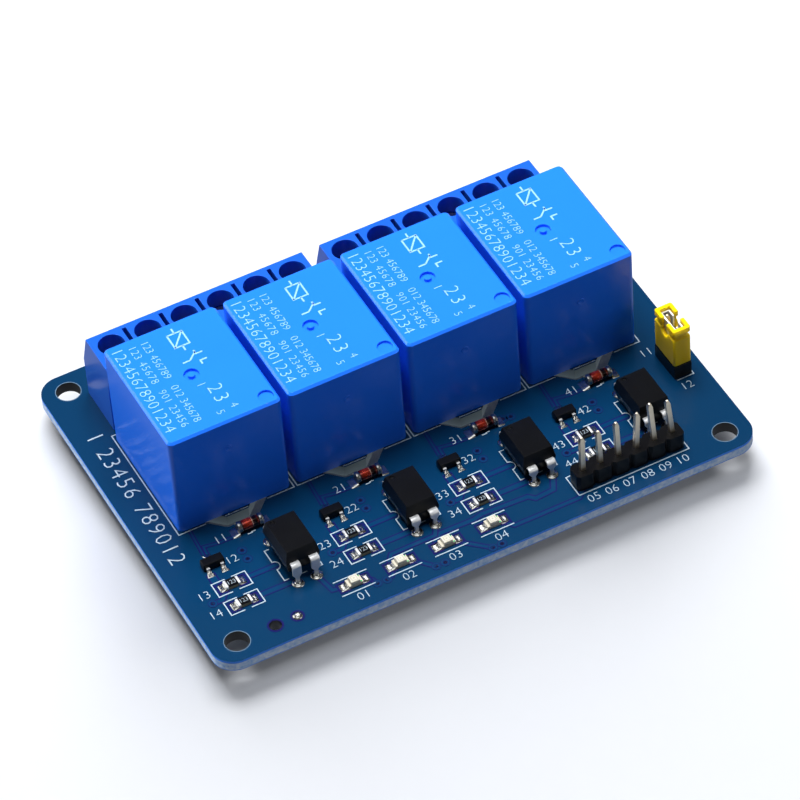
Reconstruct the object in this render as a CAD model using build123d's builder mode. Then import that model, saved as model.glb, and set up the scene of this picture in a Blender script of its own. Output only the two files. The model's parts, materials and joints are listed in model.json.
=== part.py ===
from build123d import *
import os

os.makedirs("parts", exist_ok=True)

# Millimetres; the origin is the centre of the four mounting holes on the board's underside,
# +X along the input edge, +Y towards the screw terminals, +Z up.

# Circuit board
board_length = 75.0
board_depth = 54.6
board_thickness = 1.6
board_corner_radius = 3.0
mounting_inset_x = 3.5
mounting_inset_y = 3.05
mounting_hole_diameter = 3.2
channel_margin = 4.7
driver_zone_depth = 22.45
lead_clearance = 0.15
tail_length = 2.0
trimmed_tail_length = 1.3

# Relays, one for each channel
channel_count = 4
relay_depth = 18.9
relay_height = 15.75
relay_gap = 1.0
relay_corner_radius = 0.7
relay_edge_chamfer = 0.3
relay_skirt_wall = 1.0
relay_base_recess = 0.6
gate_diameter = 2.0
gate_depth = 0.4
gate_pip_diameter = 0.9
vent_diameter = 2.0
vent_depth = 0.35
vent_inset_x = 1.45
vent_inset_y = 1.5
common_pin_inset = 2.4
coil_row_behind_common = 2.0
contact_row_inset = 2.3
side_pin_inset = 1.7
blade_width = 1.0
blade_thickness = 0.5
coil_pin_width = 0.6

# Milled isolation slot round each relay's common pin
isolation_width = 1.6
isolation_front = 1.3
isolation_flat = 3.66
isolation_spread = 3.17

# Screw terminal blocks
block_count = 2
poles_per_block = 6
pole_pitch = 5.08
block_end_wall = 0.16
block_gap = 2.1
block_gap_to_relay = 1.09
block_depth = 7.6
block_height = 10.5
block_shoulder_height = 6.3
block_top_setback = 1.1
block_front_chamfer = 0.5
block_end_taper = 0.2
pole_inset_from_front = 4.06
well_diameter = 3.5
divider_width = 0.55
divider_depth = 3.0
divider_inset = 0.6
mouth_width = 3.4
mouth_height = 3.0
mouth_floor = 0.5
mouth_flare = 12.0

# Clamp, contact and screw inside each terminal pole
clamp_width = 3.9
clamp_depth = 3.6
clamp_wall = 0.5
clamp_thread_wall = 0.8
clamp_bottom_height = 0.3
clamp_opening = 2.8
clamp_travel = 1.75
clamp_clearance = 0.1
contact_width = 2.4
contact_thickness = 0.7
contact_leg_depth = 0.8
contact_leg_inset = 0.96
contact_pin_width = 1.0
web_thickness = 0.6
screw_head_diameter = 3.2
screw_head_height = 1.0
screw_slot_width = 0.6
screw_slot_depth = 0.6
screw_shank_diameter = 2.4
screw_thread_clearance = 0.05
screw_tip_clearance = 0.05

# Pin headers, the six-way input and the two-way supply link
header_pitch = 2.54
header_width = 2.5
header_height = 2.5
header_notch = 0.4
header_pin = 0.64
header_pin_height = 5.6
header_pin_tip = 0.5
header_pin_slack = 0.02
input_ways = 6
input_end_inset = 16.55
input_edge_inset = 4.6
input_pin_leans = [(0.05, -0.05), (-0.2, -0.1), (-0.15, 0.05), (0.3, 0.1), (-0.1, 0.7), (-0.5, 0.05)]
link_ways = 2
link_header_height = 2.1
link_edge_inset = 3.16
link_ahead_of_relay = 5.86

# Push-on link cap with its folded contact
cap_width = 2.5
cap_length = 5.0
cap_shoulder_height = 4.45
cap_waist_height = 0.8
cap_rim_height = 0.9
cap_waist_setback = 0.25
cap_corner_radius = 0.3
cap_finger_gap = 1.3
cap_scoop_radius = 0.85
cap_seat_gap = 0.1
clip_thickness = 0.25
clip_pin_gap = 0.1
clip_fit = 0.05
clip_foot_gap = 0.3
clip_top_gap = 0.5

# Optocouplers
opto_offset_x = 2.5
opto_ahead_of_relay = 10.83
opto_width = 4.58
opto_depth = 6.5
opto_height = 3.5
opto_band = 0.3
opto_draft = 12.0
opto_standoffs = [1.4, 0.5, 0.5, 0.5]
opto_dimple_diameter = 0.8
opto_dimple_depth = 0.15
opto_dimple_inset = 1.0
opto_lead_pitch = 2.54
opto_row_half_spacing = 3.95
opto_lead_width = 1.2
opto_lead_thickness = 0.26
opto_lead_bend = 0.5
opto_lead_taper = 0.5
opto_tail_width = 0.5
opto_tail_height = 1.1

# Surface-mounted driver parts
transistor_offset_x = -6.5
transistor_ahead_of_relay = 6.75
transistor_length = 2.9
transistor_depth = 1.3
transistor_height = 1.0
transistor_standoff = 0.1
transistor_draft = 7.0
transistor_lead_pitch = 1.9
transistor_lead_width = 0.42
transistor_lead_thickness = 0.15
transistor_lead_reach = 0.55
diode_offset_x = 0.25
diode_ahead_of_relay = 3.45
diode_length = 3.5
diode_cap_length = 0.6
diode_cap_diameter = 1.5
diode_glass_diameter = 1.4
chip_length = 2.0
chip_depth = 1.25
resistor_height = 0.5
resistor_end = 0.36
resistor_offset_x = -5.86
resistor_rows_ahead_of_relay = [10.83, 14.23]
led_count = 4
led_from_input = 19.21
led_pitch = 6.4
led_edge_inset = 4.2
led_base_height = 0.45
led_lens_length = 1.3
led_lens_height = 0.5
led_lens_draft = 8.0

# Two spare plated holes near the front corner
spare_hole_diameters = [1.6, 1.0]
spare_hole_end_insets = [8.65, 11.65]
spare_hole_edge_inset = 2.95

# Derived heights and places
board_top = board_thickness
front_edge_y = -board_depth / 2
hole_spacing_x = board_length - 2 * mounting_inset_x
hole_spacing_y = board_depth - 2 * mounting_inset_y
channel_pitch = (board_length - 2 * channel_margin) / channel_count
channel_x = [(i - (channel_count - 1) / 2) * channel_pitch for i in range(channel_count)]
relay_width = channel_pitch - relay_gap
relay_front_y = front_edge_y + driver_zone_depth
relay_back_y = relay_front_y + relay_depth
relay_centre_y = (relay_front_y + relay_back_y) / 2
common_row_y = relay_front_y + common_pin_inset
side_pin_x = relay_width / 2 - side_pin_inset
block_length = poles_per_block * pole_pitch + 2 * block_end_wall
block_front_y = relay_back_y + block_gap_to_relay
block_back_y = block_front_y + block_depth
block_x = [(i - (block_count - 1) / 2) * (block_length + block_gap) for i in range(block_count)]
pole_offsets = [(i - (poles_per_block - 1) / 2) * pole_pitch for i in range(poles_per_block)]
pole_y = block_front_y + pole_inset_from_front
clamp_floor = board_top + clamp_bottom_height
contact_top = clamp_floor + clamp_wall + clamp_opening - clamp_clearance
clamp_top = clamp_floor + clamp_wall + clamp_opening + clamp_thread_wall
cavity_top = clamp_top + clamp_travel + clamp_clearance
screw_seat = cavity_top + web_thickness
contact_leg_y = block_front_y + contact_leg_inset + contact_leg_depth / 2
input_x = board_length / 2 - input_end_inset
input_y = front_edge_y + input_edge_inset
input_points = [(input_x + (i - (input_ways - 1) / 2) * header_pitch, input_y)
                for i in range(input_ways)]
link_x = board_length / 2 - link_edge_inset
link_y = relay_front_y - link_ahead_of_relay
link_points = [(link_x, link_y + (i - (link_ways - 1) / 2) * header_pitch) for i in range(link_ways)]
link_leans = [(0.0, 0.0)] * link_ways
header_passage = header_pin + 2 * header_pin_slack
link_seat = board_top + link_header_height
cap_seat = link_seat + cap_seat_gap
cap_shoulder = cap_seat + cap_shoulder_height
cap_rim = cap_shoulder + cap_waist_height
cap_top = cap_rim + cap_rim_height
clip_inner_width = header_pin + 2 * clip_pin_gap
clip_inner_length = (link_ways - 1) * header_pitch + clip_inner_width
clip_width = clip_inner_width + 2 * clip_thickness
clip_length = clip_inner_length + 2 * clip_thickness
opto_y = relay_front_y - opto_ahead_of_relay
transistor_y = relay_front_y - transistor_ahead_of_relay
diode_y = relay_front_y - diode_ahead_of_relay
led_y = front_edge_y + led_edge_inset


def save(piece, name):
    """Label a finished piece and write it as its own STEP file."""
    piece.part.label = name
    export_step(piece.part, f"parts/{name}.step")


# Lead positions of one relay about its channel's centre line
def relay_blade_points(x):
    contact_y = relay_back_y - contact_row_inset
    return [(x, common_row_y), (x - side_pin_x, contact_y), (x + side_pin_x, contact_y)]


def relay_coil_points(x):
    coil_y = common_row_y + coil_row_behind_common
    return [(x - side_pin_x, coil_y), (x + side_pin_x, coil_y)]


# Lead positions of one optocoupler, its front pair then its back pair
def opto_lead_points(x):
    centre = x + opto_offset_x
    return [(centre + side * opto_lead_pitch / 2, opto_y + row * opto_row_half_spacing)
            for row in (-1, 1) for side in (-1, 1)]


# Isolation slot outline, a trapezium-shaped route with round ends
slot_line_y = relay_front_y - isolation_front
with BuildSketch() as isolation_slot:
    with BuildLine():
        half_flat = isolation_flat / 2
        Polyline(
            (-half_flat - isolation_spread, slot_line_y + isolation_spread),
            (-half_flat, slot_line_y),
            (half_flat, slot_line_y),
            (half_flat + isolation_spread, slot_line_y + isolation_spread),
        )
        offset(amount=isolation_width / 2, side=Side.BOTH)
    make_face()

# Circuit board with its mounting holes, isolation slots, spare holes and one passage for each soldered lead
blade_points = [point for x in channel_x for point in relay_blade_points(x)]
coil_points = [point for x in channel_x for point in relay_coil_points(x)]
pole_points = [(x + dx, contact_leg_y) for x in block_x for dx in pole_offsets]
opto_points = [point for x in channel_x for point in opto_lead_points(x)]
spare_points = [(inset - board_length / 2, front_edge_y + spare_hole_edge_inset)
                for inset in spare_hole_end_insets]
lead_passages = [
    (blade_width, blade_thickness, blade_points),
    (coil_pin_width, coil_pin_width, coil_points),
    (contact_pin_width, contact_leg_depth, pole_points),
    (opto_tail_width, opto_lead_thickness, opto_points),
    (header_pin, header_pin, input_points + link_points),
]
with BuildPart() as circuit_board:
    with BuildSketch():
        RectangleRounded(board_length, board_depth, board_corner_radius)
        with GridLocations(hole_spacing_x, hole_spacing_y, 2, 2):
            Circle(mounting_hole_diameter / 2, mode=Mode.SUBTRACT)
        with Locations(*[(x, 0) for x in channel_x]):
            add(isolation_slot.sketch, mode=Mode.SUBTRACT)
        for point, diameter in zip(spare_points, spare_hole_diameters):
            with Locations(point):
                Circle(diameter / 2, mode=Mode.SUBTRACT)
        for width, thickness, points in lead_passages:
            with Locations(*points):
                Rectangle(width + 2 * lead_clearance, thickness + 2 * lead_clearance, mode=Mode.SUBTRACT)
    extrude(amount=board_thickness)
save(circuit_board, "circuit_board")


# Sealed relay case: rounded cube, moulding gate and vent dimple on top, recessed base below
def relay_case(x):
    floor = Plane((x, relay_centre_y, board_top))
    roof = floor.offset(relay_height)
    vent = (relay_width / 2 - vent_inset_x, -relay_depth / 2 + vent_inset_y)
    with BuildPart() as case:
        with BuildSketch(floor):
            RectangleRounded(relay_width, relay_depth, relay_corner_radius)
        extrude(amount=relay_height)
        chamfer(case.faces().sort_by(Axis.Z)[-1].edges(), relay_edge_chamfer)
        with BuildSketch(floor):
            Rectangle(relay_width - 2 * relay_skirt_wall, relay_depth - 2 * relay_skirt_wall)
        extrude(amount=relay_base_recess, mode=Mode.SUBTRACT)
        with BuildSketch(roof):
            Circle(gate_diameter / 2)
            Circle(gate_pip_diameter / 2, mode=Mode.SUBTRACT)
        extrude(amount=-gate_depth, mode=Mode.SUBTRACT)
        with BuildSketch(roof):
            with Locations(vent):
                Circle(vent_diameter / 2)
        extrude(amount=-vent_depth, mode=Mode.SUBTRACT)
    return case


# Relay pins: three flat contact blades and two thinner coil pins
def relay_pins(x):
    base = board_top + relay_base_recess
    with BuildPart() as pins:
        with BuildSketch(Plane.XY.offset(base)):
            with Locations(*relay_blade_points(x)):
                Rectangle(blade_width, blade_thickness)
            with Locations(*relay_coil_points(x)):
                Rectangle(coil_pin_width, coil_pin_width)
        extrude(amount=-base - tail_length)
    return pins


for number, x in enumerate(channel_x, 1):
    save(relay_case(x), f"relay_case_{number}")
    save(relay_pins(x), f"relay_pins_{number}")


# Terminal housing: moulded block with screw wells, pole dividers, clamp cavities and wire mouths
def terminal_housing(x):
    half = block_length / 2
    floor = Plane((x, pole_y, board_top))
    front_view = Plane((x, block_front_y, board_top), x_dir=(1, 0, 0), z_dir=(0, -1, 0))
    back_view = Plane((x, block_back_y, board_top), x_dir=(1, 0, 0), z_dir=(0, -1, 0))
    end_view = Plane((x - half, block_front_y, board_top), x_dir=(0, 1, 0), z_dir=(1, 0, 0))
    divider_length = block_depth - block_top_setback - block_front_chamfer - 2 * divider_inset
    divider_y = block_front_y + block_front_chamfer + divider_inset + divider_length / 2 - pole_y
    slot_y = block_front_y + contact_leg_inset - clamp_clearance
    slot_length = pole_y - slot_y
    with BuildPart() as housing:
        with BuildSketch(end_view):
            with BuildLine():
                Polyline(
                    (0, 0),
                    (block_depth, 0),
                    (block_depth, block_shoulder_height),
                    (block_depth - block_top_setback, block_height),
                    (block_front_chamfer, block_height),
                    (0, block_height - block_front_chamfer),
                    close=True,
                )
            make_face()
        extrude(amount=block_length)
        with BuildSketch(front_view):
            with BuildLine():
                Polyline(
                    (-half, 0),
                    (half, 0),
                    (half, block_shoulder_height),
                    (half - block_end_taper, block_height),
                    (-half + block_end_taper, block_height),
                    (-half, block_shoulder_height),
                    close=True,
                )
            make_face()
        extrude(amount=-block_depth, mode=Mode.INTERSECT)
        with BuildSketch(floor.offset(block_height)):
            with GridLocations(pole_pitch, 0, poles_per_block, 1):
                Circle(well_diameter / 2)
        extrude(amount=screw_seat - board_top - block_height, mode=Mode.SUBTRACT)
        with BuildSketch(floor.offset(block_height)):
            with Locations((0, divider_y)):
                with GridLocations(pole_pitch, 0, poles_per_block - 1, 1):
                    Rectangle(divider_width, divider_length)
        extrude(amount=-divider_depth, mode=Mode.SUBTRACT)
        with BuildSketch(floor):
            with GridLocations(pole_pitch, 0, poles_per_block, 1):
                Circle(screw_shank_diameter / 2 + clamp_clearance)
        extrude(amount=screw_seat - board_top, mode=Mode.SUBTRACT)
        with BuildSketch(floor):
            with GridLocations(pole_pitch, 0, poles_per_block, 1):
                Rectangle(clamp_width + 2 * clamp_clearance, clamp_depth + 2 * clamp_clearance)
        extrude(amount=cavity_top - board_top, mode=Mode.SUBTRACT)
        with BuildSketch(floor):
            with Locations((0, slot_y - pole_y + slot_length / 2)):
                with GridLocations(pole_pitch, 0, poles_per_block, 1):
                    Rectangle(contact_width + 2 * clamp_clearance, slot_length)
        extrude(amount=contact_top + clamp_clearance - board_top, mode=Mode.SUBTRACT)
        with BuildSketch(back_view):
            with Locations((0, mouth_floor + mouth_height / 2)):
                with GridLocations(pole_pitch, 0, poles_per_block, 1):
                    Rectangle(mouth_width, mouth_height)
        extrude(amount=block_back_y - pole_y, taper=mouth_flare / 2, mode=Mode.SUBTRACT)
    return housing


# Contacts of one block: a flat bar inside each clamp, turned down into a solder leg
def terminal_contacts(x):
    bar_tip_y = pole_y + clamp_depth / 2 - clamp_clearance
    leg_front_y = contact_leg_y - contact_leg_depth / 2
    bar_height = contact_top - board_top
    with BuildPart() as contacts:
        for dx in pole_offsets:
            with BuildSketch(Plane((x + dx, leg_front_y, board_top), x_dir=(0, 1, 0), z_dir=(1, 0, 0))):
                with BuildLine():
                    Polyline(
                        (0, 0),
                        (contact_leg_depth, 0),
                        (contact_leg_depth, bar_height - contact_thickness),
                        (bar_tip_y - leg_front_y, bar_height - contact_thickness),
                        (bar_tip_y - leg_front_y, bar_height),
                        (0, bar_height),
                        close=True,
                    )
                make_face()
            extrude(amount=contact_width / 2, both=True)
        with BuildSketch(Plane((x, contact_leg_y, board_top))):
            with GridLocations(pole_pitch, 0, poles_per_block, 1):
                Rectangle(contact_pin_width, contact_leg_depth)
        extrude(amount=-board_top - tail_length)
    return contacts


# Rising clamp: a square metal loop, its thick top wall threaded on the screw
def terminal_clamp(x):
    loop_height = clamp_top - clamp_floor
    loop = Plane((x, pole_y, clamp_floor), x_dir=(1, 0, 0), z_dir=(0, -1, 0))
    with BuildPart() as clamp:
        with BuildSketch(loop):
            with Locations((0, loop_height / 2)):
                Rectangle(clamp_width, loop_height)
            with Locations((0, clamp_wall + clamp_opening / 2)):
                Rectangle(clamp_width - 2 * clamp_wall, clamp_opening, mode=Mode.SUBTRACT)
        extrude(amount=clamp_depth / 2, both=True)
        with BuildSketch(Plane((x, pole_y, clamp_top))):
            Circle(screw_shank_diameter / 2 + screw_thread_clearance)
        extrude(amount=-clamp_thread_wall, mode=Mode.SUBTRACT)
    return clamp


# Slotted cheese-head screw, its tip just clear of the contact bar
def terminal_screw(x):
    seat = Plane((x, pole_y, screw_seat))
    with BuildPart() as screw:
        with BuildSketch(seat):
            Circle(screw_head_diameter / 2)
        extrude(amount=screw_head_height)
        with BuildSketch(seat.offset(screw_head_height)):
            Rectangle(screw_head_diameter, screw_slot_width)
        extrude(amount=-screw_slot_depth, mode=Mode.SUBTRACT)
        with BuildSketch(seat):
            Circle(screw_shank_diameter / 2)
        extrude(amount=contact_top + screw_tip_clearance - screw_seat)
    return screw


for side, x in zip(("left", "right"), block_x):
    save(terminal_housing(x), f"terminal_housing_{side}")
    save(terminal_contacts(x), f"terminal_contacts_{side}")
for number, x in enumerate([x + dx for x in block_x for dx in pole_offsets], 1):
    save(terminal_clamp(x), f"terminal_clamp_{number}")
    save(terminal_screw(x), f"terminal_screw_{number}")


# Input header moulding: one notched block for each way, with a square passage for its pin
def notched_header():
    half = header_pitch / 2
    half_width = header_width / 2
    outline = [
        (-half, -half_width + header_notch),
        (-half + header_notch, -half_width),
        (half - header_notch, -half_width),
        (half, -half_width + header_notch),
        (half, half_width - header_notch),
        (half - header_notch, half_width),
        (-half + header_notch, half_width),
        (-half, half_width - header_notch),
    ]
    with BuildPart() as body:
        with BuildSketch(Plane.XY.offset(board_top)):
            with Locations(*input_points):
                Polygon(*outline)
                Rectangle(header_passage, header_passage, mode=Mode.SUBTRACT)
        extrude(amount=header_height)
    return body


# Link header moulding: one plain lower block with the same passages
def plain_header():
    with BuildPart() as body:
        with BuildSketch(Plane.XY.offset(board_top)):
            with Locations((link_x, link_y)):
                Rectangle(header_width, link_ways * header_pitch)
            with Locations(*link_points):
                Rectangle(header_passage, header_passage, mode=Mode.SUBTRACT)
        extrude(amount=link_header_height)
    return body


# Header pins: straight through the board and moulding, then a free length that may lean
def header_pins(points, leans, seat):
    neck_height = header_pin_height - header_pin_tip
    with BuildPart() as pins:
        for (x, y), (lean_x, lean_y) in zip(points, leans):
            neck = Plane((x + lean_x, y + lean_y, seat + neck_height))
            with BuildSketch(Plane((x, y, -trimmed_tail_length))):
                Rectangle(header_pin, header_pin)
            extrude(amount=trimmed_tail_length + seat)
            with BuildSketch(Plane((x, y, seat))):
                Rectangle(header_pin, header_pin)
            with BuildSketch(neck):
                Rectangle(header_pin, header_pin)
            loft()
            with BuildSketch(neck):
                Rectangle(header_pin, header_pin)
            with BuildSketch(neck.offset(header_pin_tip)):
                Rectangle(header_pin / 2, header_pin / 2)
            loft()
    return pins


save(notched_header(), "input_header_body")
save(header_pins(input_points, input_pin_leans, board_top + header_height), "input_header_pins")
save(plain_header(), "link_header_body")
save(header_pins(link_points, link_leans, link_seat), "link_header_pins")

# Link cap: hollow block with a narrower waist and an open rim split into two finger grips
with BuildPart() as link_cap:
    cap_floor = Plane((link_x, link_y, cap_seat))
    with BuildSketch(cap_floor):
        RectangleRounded(cap_width, cap_length, cap_corner_radius)
    extrude(amount=cap_shoulder_height)
    with BuildSketch(cap_floor.offset(cap_shoulder_height)):
        RectangleRounded(
            cap_width - 2 * cap_waist_setback, cap_length - 2 * cap_waist_setback, cap_corner_radius)
    extrude(amount=cap_waist_height)
    with BuildSketch(cap_floor.offset(cap_rim - cap_seat)):
        RectangleRounded(cap_width, cap_length, cap_corner_radius)
    extrude(amount=cap_rim_height)
    with BuildSketch(cap_floor):
        Rectangle(clip_width + 2 * clip_fit, clip_length + 2 * clip_fit)
    extrude(amount=cap_top - cap_seat, mode=Mode.SUBTRACT)
    with BuildSketch(cap_floor.offset(cap_shoulder_height)):
        Rectangle(cap_width, cap_finger_gap)
    extrude(amount=cap_top - cap_shoulder, mode=Mode.SUBTRACT)
    with BuildSketch(Plane((link_x, link_y, cap_shoulder), x_dir=(0, 1, 0), z_dir=(1, 0, 0))):
        Circle(cap_scoop_radius)
    extrude(amount=cap_width / 2, both=True, mode=Mode.SUBTRACT)
save(link_cap, "link_cap")

# Link contact: a strip folded into a shallow channel that grips both pins
with BuildPart() as link_contact:
    with BuildSketch(Plane((link_x, link_y, cap_seat + clip_foot_gap))):
        Rectangle(clip_width, clip_length)
        Rectangle(clip_inner_width, clip_inner_length, mode=Mode.SUBTRACT)
        with Locations((clip_width / 2, 0)):
            Rectangle(clip_width, cap_finger_gap, mode=Mode.SUBTRACT)
    extrude(amount=cap_top - cap_seat - clip_foot_gap - clip_top_gap)
save(link_contact, "link_contact")


# Optocoupler body: drafted above and below a flat parting band, with a pin-one dimple
def opto_body(x, standoff):
    draft_height = (opto_height - opto_band) / 2
    band = Plane((x + opto_offset_x, opto_y, board_top + standoff + draft_height))
    with BuildPart() as body:
        with BuildSketch(band):
            Rectangle(opto_width, opto_depth)
        extrude(amount=opto_band)
        with BuildSketch(band.offset(opto_band)):
            Rectangle(opto_width, opto_depth)
        extrude(amount=draft_height, taper=opto_draft)
        with BuildSketch(band):
            Rectangle(opto_width, opto_depth)
        extrude(amount=-draft_height, taper=opto_draft)
        with BuildSketch(band.offset(opto_band + draft_height)):
            with Locations((-opto_width / 2 + opto_dimple_inset, opto_depth / 2 - opto_dimple_inset)):
                Circle(opto_dimple_diameter / 2)
        extrude(amount=-opto_dimple_depth, mode=Mode.SUBTRACT)
    return body


# Optocoupler leads: a flat strip bent down from the band, its wide shoulder tapering into a narrow tail
def opto_leads(x, standoff):
    shoulder_top = standoff + opto_height / 2 + opto_lead_thickness / 2
    reach = opto_row_half_spacing - opto_depth / 2 + opto_lead_thickness / 2
    tail_top = opto_tail_height + opto_lead_taper
    tail_end = -board_top - trimmed_tail_length
    half_shoulder = opto_lead_width / 2
    half_tail = opto_tail_width / 2
    with BuildPart() as leads:
        for lead_x, lead_y in opto_lead_points(x):
            outward = 1 if lead_y > opto_y else -1
            root = (lead_x, opto_y + outward * opto_depth / 2, board_top)
            with BuildPart(mode=Mode.PRIVATE) as lead:
                with BuildSketch(Plane(root, x_dir=(0, outward, 0), z_dir=(outward, 0, 0))):
                    with BuildLine():
                        FilletPolyline(
                            (0, shoulder_top), (reach, shoulder_top), (reach, tail_end),
                            radius=opto_lead_bend)
                        offset(amount=opto_lead_thickness, side=Side.RIGHT)
                    make_face()
                extrude(amount=half_shoulder, both=True)
                with BuildSketch(Plane(root, x_dir=(1, 0, 0), z_dir=(0, -1, 0))):
                    with BuildLine():
                        Polyline(
                            (half_tail, tail_end),
                            (half_tail, opto_tail_height),
                            (half_shoulder, tail_top),
                            (half_shoulder, shoulder_top),
                            (-half_shoulder, shoulder_top),
                            (-half_shoulder, tail_top),
                            (-half_tail, opto_tail_height),
                            (-half_tail, tail_end),
                            close=True,
                        )
                    make_face()
                extrude(amount=reach, both=True, mode=Mode.INTERSECT)
            add(lead.part)
    return leads


for number, (x, standoff) in enumerate(zip(channel_x, opto_standoffs), 1):
    save(opto_body(x, standoff), f"optocoupler_body_{number}")
    save(opto_leads(x, standoff), f"optocoupler_leads_{number}")

# Driver transistors: drafted three-lead bodies
with BuildPart() as transistor_bodies:
    with BuildSketch(Plane.XY.offset(board_top + transistor_standoff)):
        with Locations(*[(x + transistor_offset_x, transistor_y) for x in channel_x]):
            Rectangle(transistor_length, transistor_depth)
    extrude(amount=transistor_height / 2)
    with BuildSketch(Plane.XY.offset(board_top + transistor_standoff + transistor_height / 2)):
        with Locations(*[(x + transistor_offset_x, transistor_y) for x in channel_x]):
            Rectangle(transistor_length, transistor_depth)
    extrude(amount=transistor_height / 2, taper=transistor_draft)
save(transistor_bodies, "transistor_bodies")

# Gull-wing leads of the transistors, two at the front and one at the back
with BuildPart() as transistor_leads:
    lead_top = transistor_standoff + transistor_height / 2
    knee = transistor_lead_reach / 2
    for x in channel_x:
        for dx, outward in ((-0.5, -1), (0.5, -1), (0.0, 1)):
            lead_x = x + transistor_offset_x + dx * transistor_lead_pitch
            side = Plane((lead_x, transistor_y + outward * transistor_depth / 2, board_top),
                         x_dir=(0, outward, 0), z_dir=(outward, 0, 0))
            with BuildSketch(side):
                with BuildLine():
                    Polyline(
                        (0, lead_top),
                        (knee, lead_top),
                        (knee, transistor_lead_thickness),
                        (transistor_lead_reach, transistor_lead_thickness),
                        (transistor_lead_reach, 0),
                        (knee - transistor_lead_thickness, 0),
                        (knee - transistor_lead_thickness, lead_top - transistor_lead_thickness),
                        (0, lead_top - transistor_lead_thickness),
                        close=True,
                    )
                make_face()
            extrude(amount=transistor_lead_width / 2, both=True)
save(transistor_leads, "transistor_leads")

# Round glass diodes lying across the front of the relays, with a metal cap on each end
diode_glass_half = diode_length / 2 - diode_cap_length
diode_axes = [Plane((x + diode_offset_x, diode_y, board_top + diode_cap_diameter / 2),
                    x_dir=(0, 1, 0), z_dir=(1, 0, 0)) for x in channel_x]
with BuildPart() as diode_glass:
    for axis in diode_axes:
        with BuildSketch(axis):
            Circle(diode_glass_diameter / 2)
        extrude(amount=diode_glass_half, both=True)
save(diode_glass, "diode_glass")
with BuildPart() as diode_caps:
    for axis in diode_axes:
        for direction in (-1, 1):
            with BuildSketch(axis.offset(direction * diode_glass_half)):
                Circle(diode_cap_diameter / 2)
            extrude(amount=direction * diode_cap_length)
save(diode_caps, "diode_caps")

# Chip resistors, two for each channel, with wrapped metal ends
resistor_points = [(x + resistor_offset_x, relay_front_y - row)
                   for x in channel_x for row in resistor_rows_ahead_of_relay]
with BuildPart() as resistor_bodies:
    with BuildSketch(Plane.XY.offset(board_top)):
        with Locations(*resistor_points):
            Rectangle(chip_length - 2 * resistor_end, chip_depth)
    extrude(amount=resistor_height)
save(resistor_bodies, "resistor_bodies")
with BuildPart() as resistor_ends:
    with BuildSketch(Plane.XY.offset(board_top)):
        with Locations(*resistor_points):
            with GridLocations(chip_length - resistor_end, 0, 2, 1):
                Rectangle(resistor_end, chip_depth)
    extrude(amount=resistor_height)
save(resistor_ends, "resistor_ends")

# Indicator lamps: a flat base under a drafted lens
led_points = [(input_x - led_from_input - i * led_pitch, led_y) for i in range(led_count)]
with BuildPart() as led_bases:
    with BuildSketch(Plane.XY.offset(board_top)):
        with Locations(*led_points):
            Rectangle(chip_length, chip_depth)
    extrude(amount=led_base_height)
save(led_bases, "led_bases")
with BuildPart() as led_lenses:
    with BuildSketch(Plane.XY.offset(board_top + led_base_height)):
        with Locations(*led_points):
            Rectangle(led_lens_length, chip_depth)
    extrude(amount=led_lens_height, taper=led_lens_draft)
save(led_lenses, "led_lenses")
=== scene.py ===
"""Looks of a four-channel relay module board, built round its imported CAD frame."""

import json
import logging
import math
from dataclasses import dataclass, field
from enum import Enum
from functools import lru_cache, partial
from typing import Callable, Iterable, Optional, Sequence, Union

import bmesh
import bpy
from mathutils import Euler, Matrix, Vector

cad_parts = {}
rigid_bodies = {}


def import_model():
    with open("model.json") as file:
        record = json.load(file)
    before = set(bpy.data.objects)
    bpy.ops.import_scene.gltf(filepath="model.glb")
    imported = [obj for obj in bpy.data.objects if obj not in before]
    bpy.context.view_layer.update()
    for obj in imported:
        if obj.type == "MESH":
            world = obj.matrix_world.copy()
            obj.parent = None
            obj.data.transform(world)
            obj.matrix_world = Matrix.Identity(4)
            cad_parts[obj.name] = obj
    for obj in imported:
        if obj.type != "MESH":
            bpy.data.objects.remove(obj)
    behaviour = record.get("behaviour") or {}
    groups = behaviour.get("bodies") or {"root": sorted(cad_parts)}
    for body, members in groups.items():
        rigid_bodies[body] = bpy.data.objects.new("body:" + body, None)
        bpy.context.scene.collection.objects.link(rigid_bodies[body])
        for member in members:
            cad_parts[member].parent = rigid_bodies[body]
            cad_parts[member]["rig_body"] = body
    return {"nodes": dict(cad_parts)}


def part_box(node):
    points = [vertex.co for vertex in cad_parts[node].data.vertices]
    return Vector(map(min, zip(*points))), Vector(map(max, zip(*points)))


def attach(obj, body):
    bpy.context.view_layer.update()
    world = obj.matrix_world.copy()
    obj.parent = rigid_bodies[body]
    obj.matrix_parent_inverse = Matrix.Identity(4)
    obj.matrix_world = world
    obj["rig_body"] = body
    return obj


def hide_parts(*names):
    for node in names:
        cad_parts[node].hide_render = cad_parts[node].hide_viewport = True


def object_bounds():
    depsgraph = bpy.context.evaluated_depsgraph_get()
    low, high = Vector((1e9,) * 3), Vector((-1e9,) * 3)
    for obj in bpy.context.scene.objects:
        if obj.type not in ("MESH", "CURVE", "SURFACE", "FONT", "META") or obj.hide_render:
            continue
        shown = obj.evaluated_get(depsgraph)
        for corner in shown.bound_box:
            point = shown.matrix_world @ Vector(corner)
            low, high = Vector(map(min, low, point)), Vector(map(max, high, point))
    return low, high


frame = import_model()
cad_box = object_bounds()

MM = 0.001
BOARD = "board"
LOG = logging.getLogger("relay_board")
Point = tuple[float, float]
Value = Union[bpy.types.Node, bpy.types.NodeSocket, float, int, str, Sequence[float]]
# Numbers of the channels and of the terminal poles
CHANNELS = range(1, 5)
POLES = range(1, 13)


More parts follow.
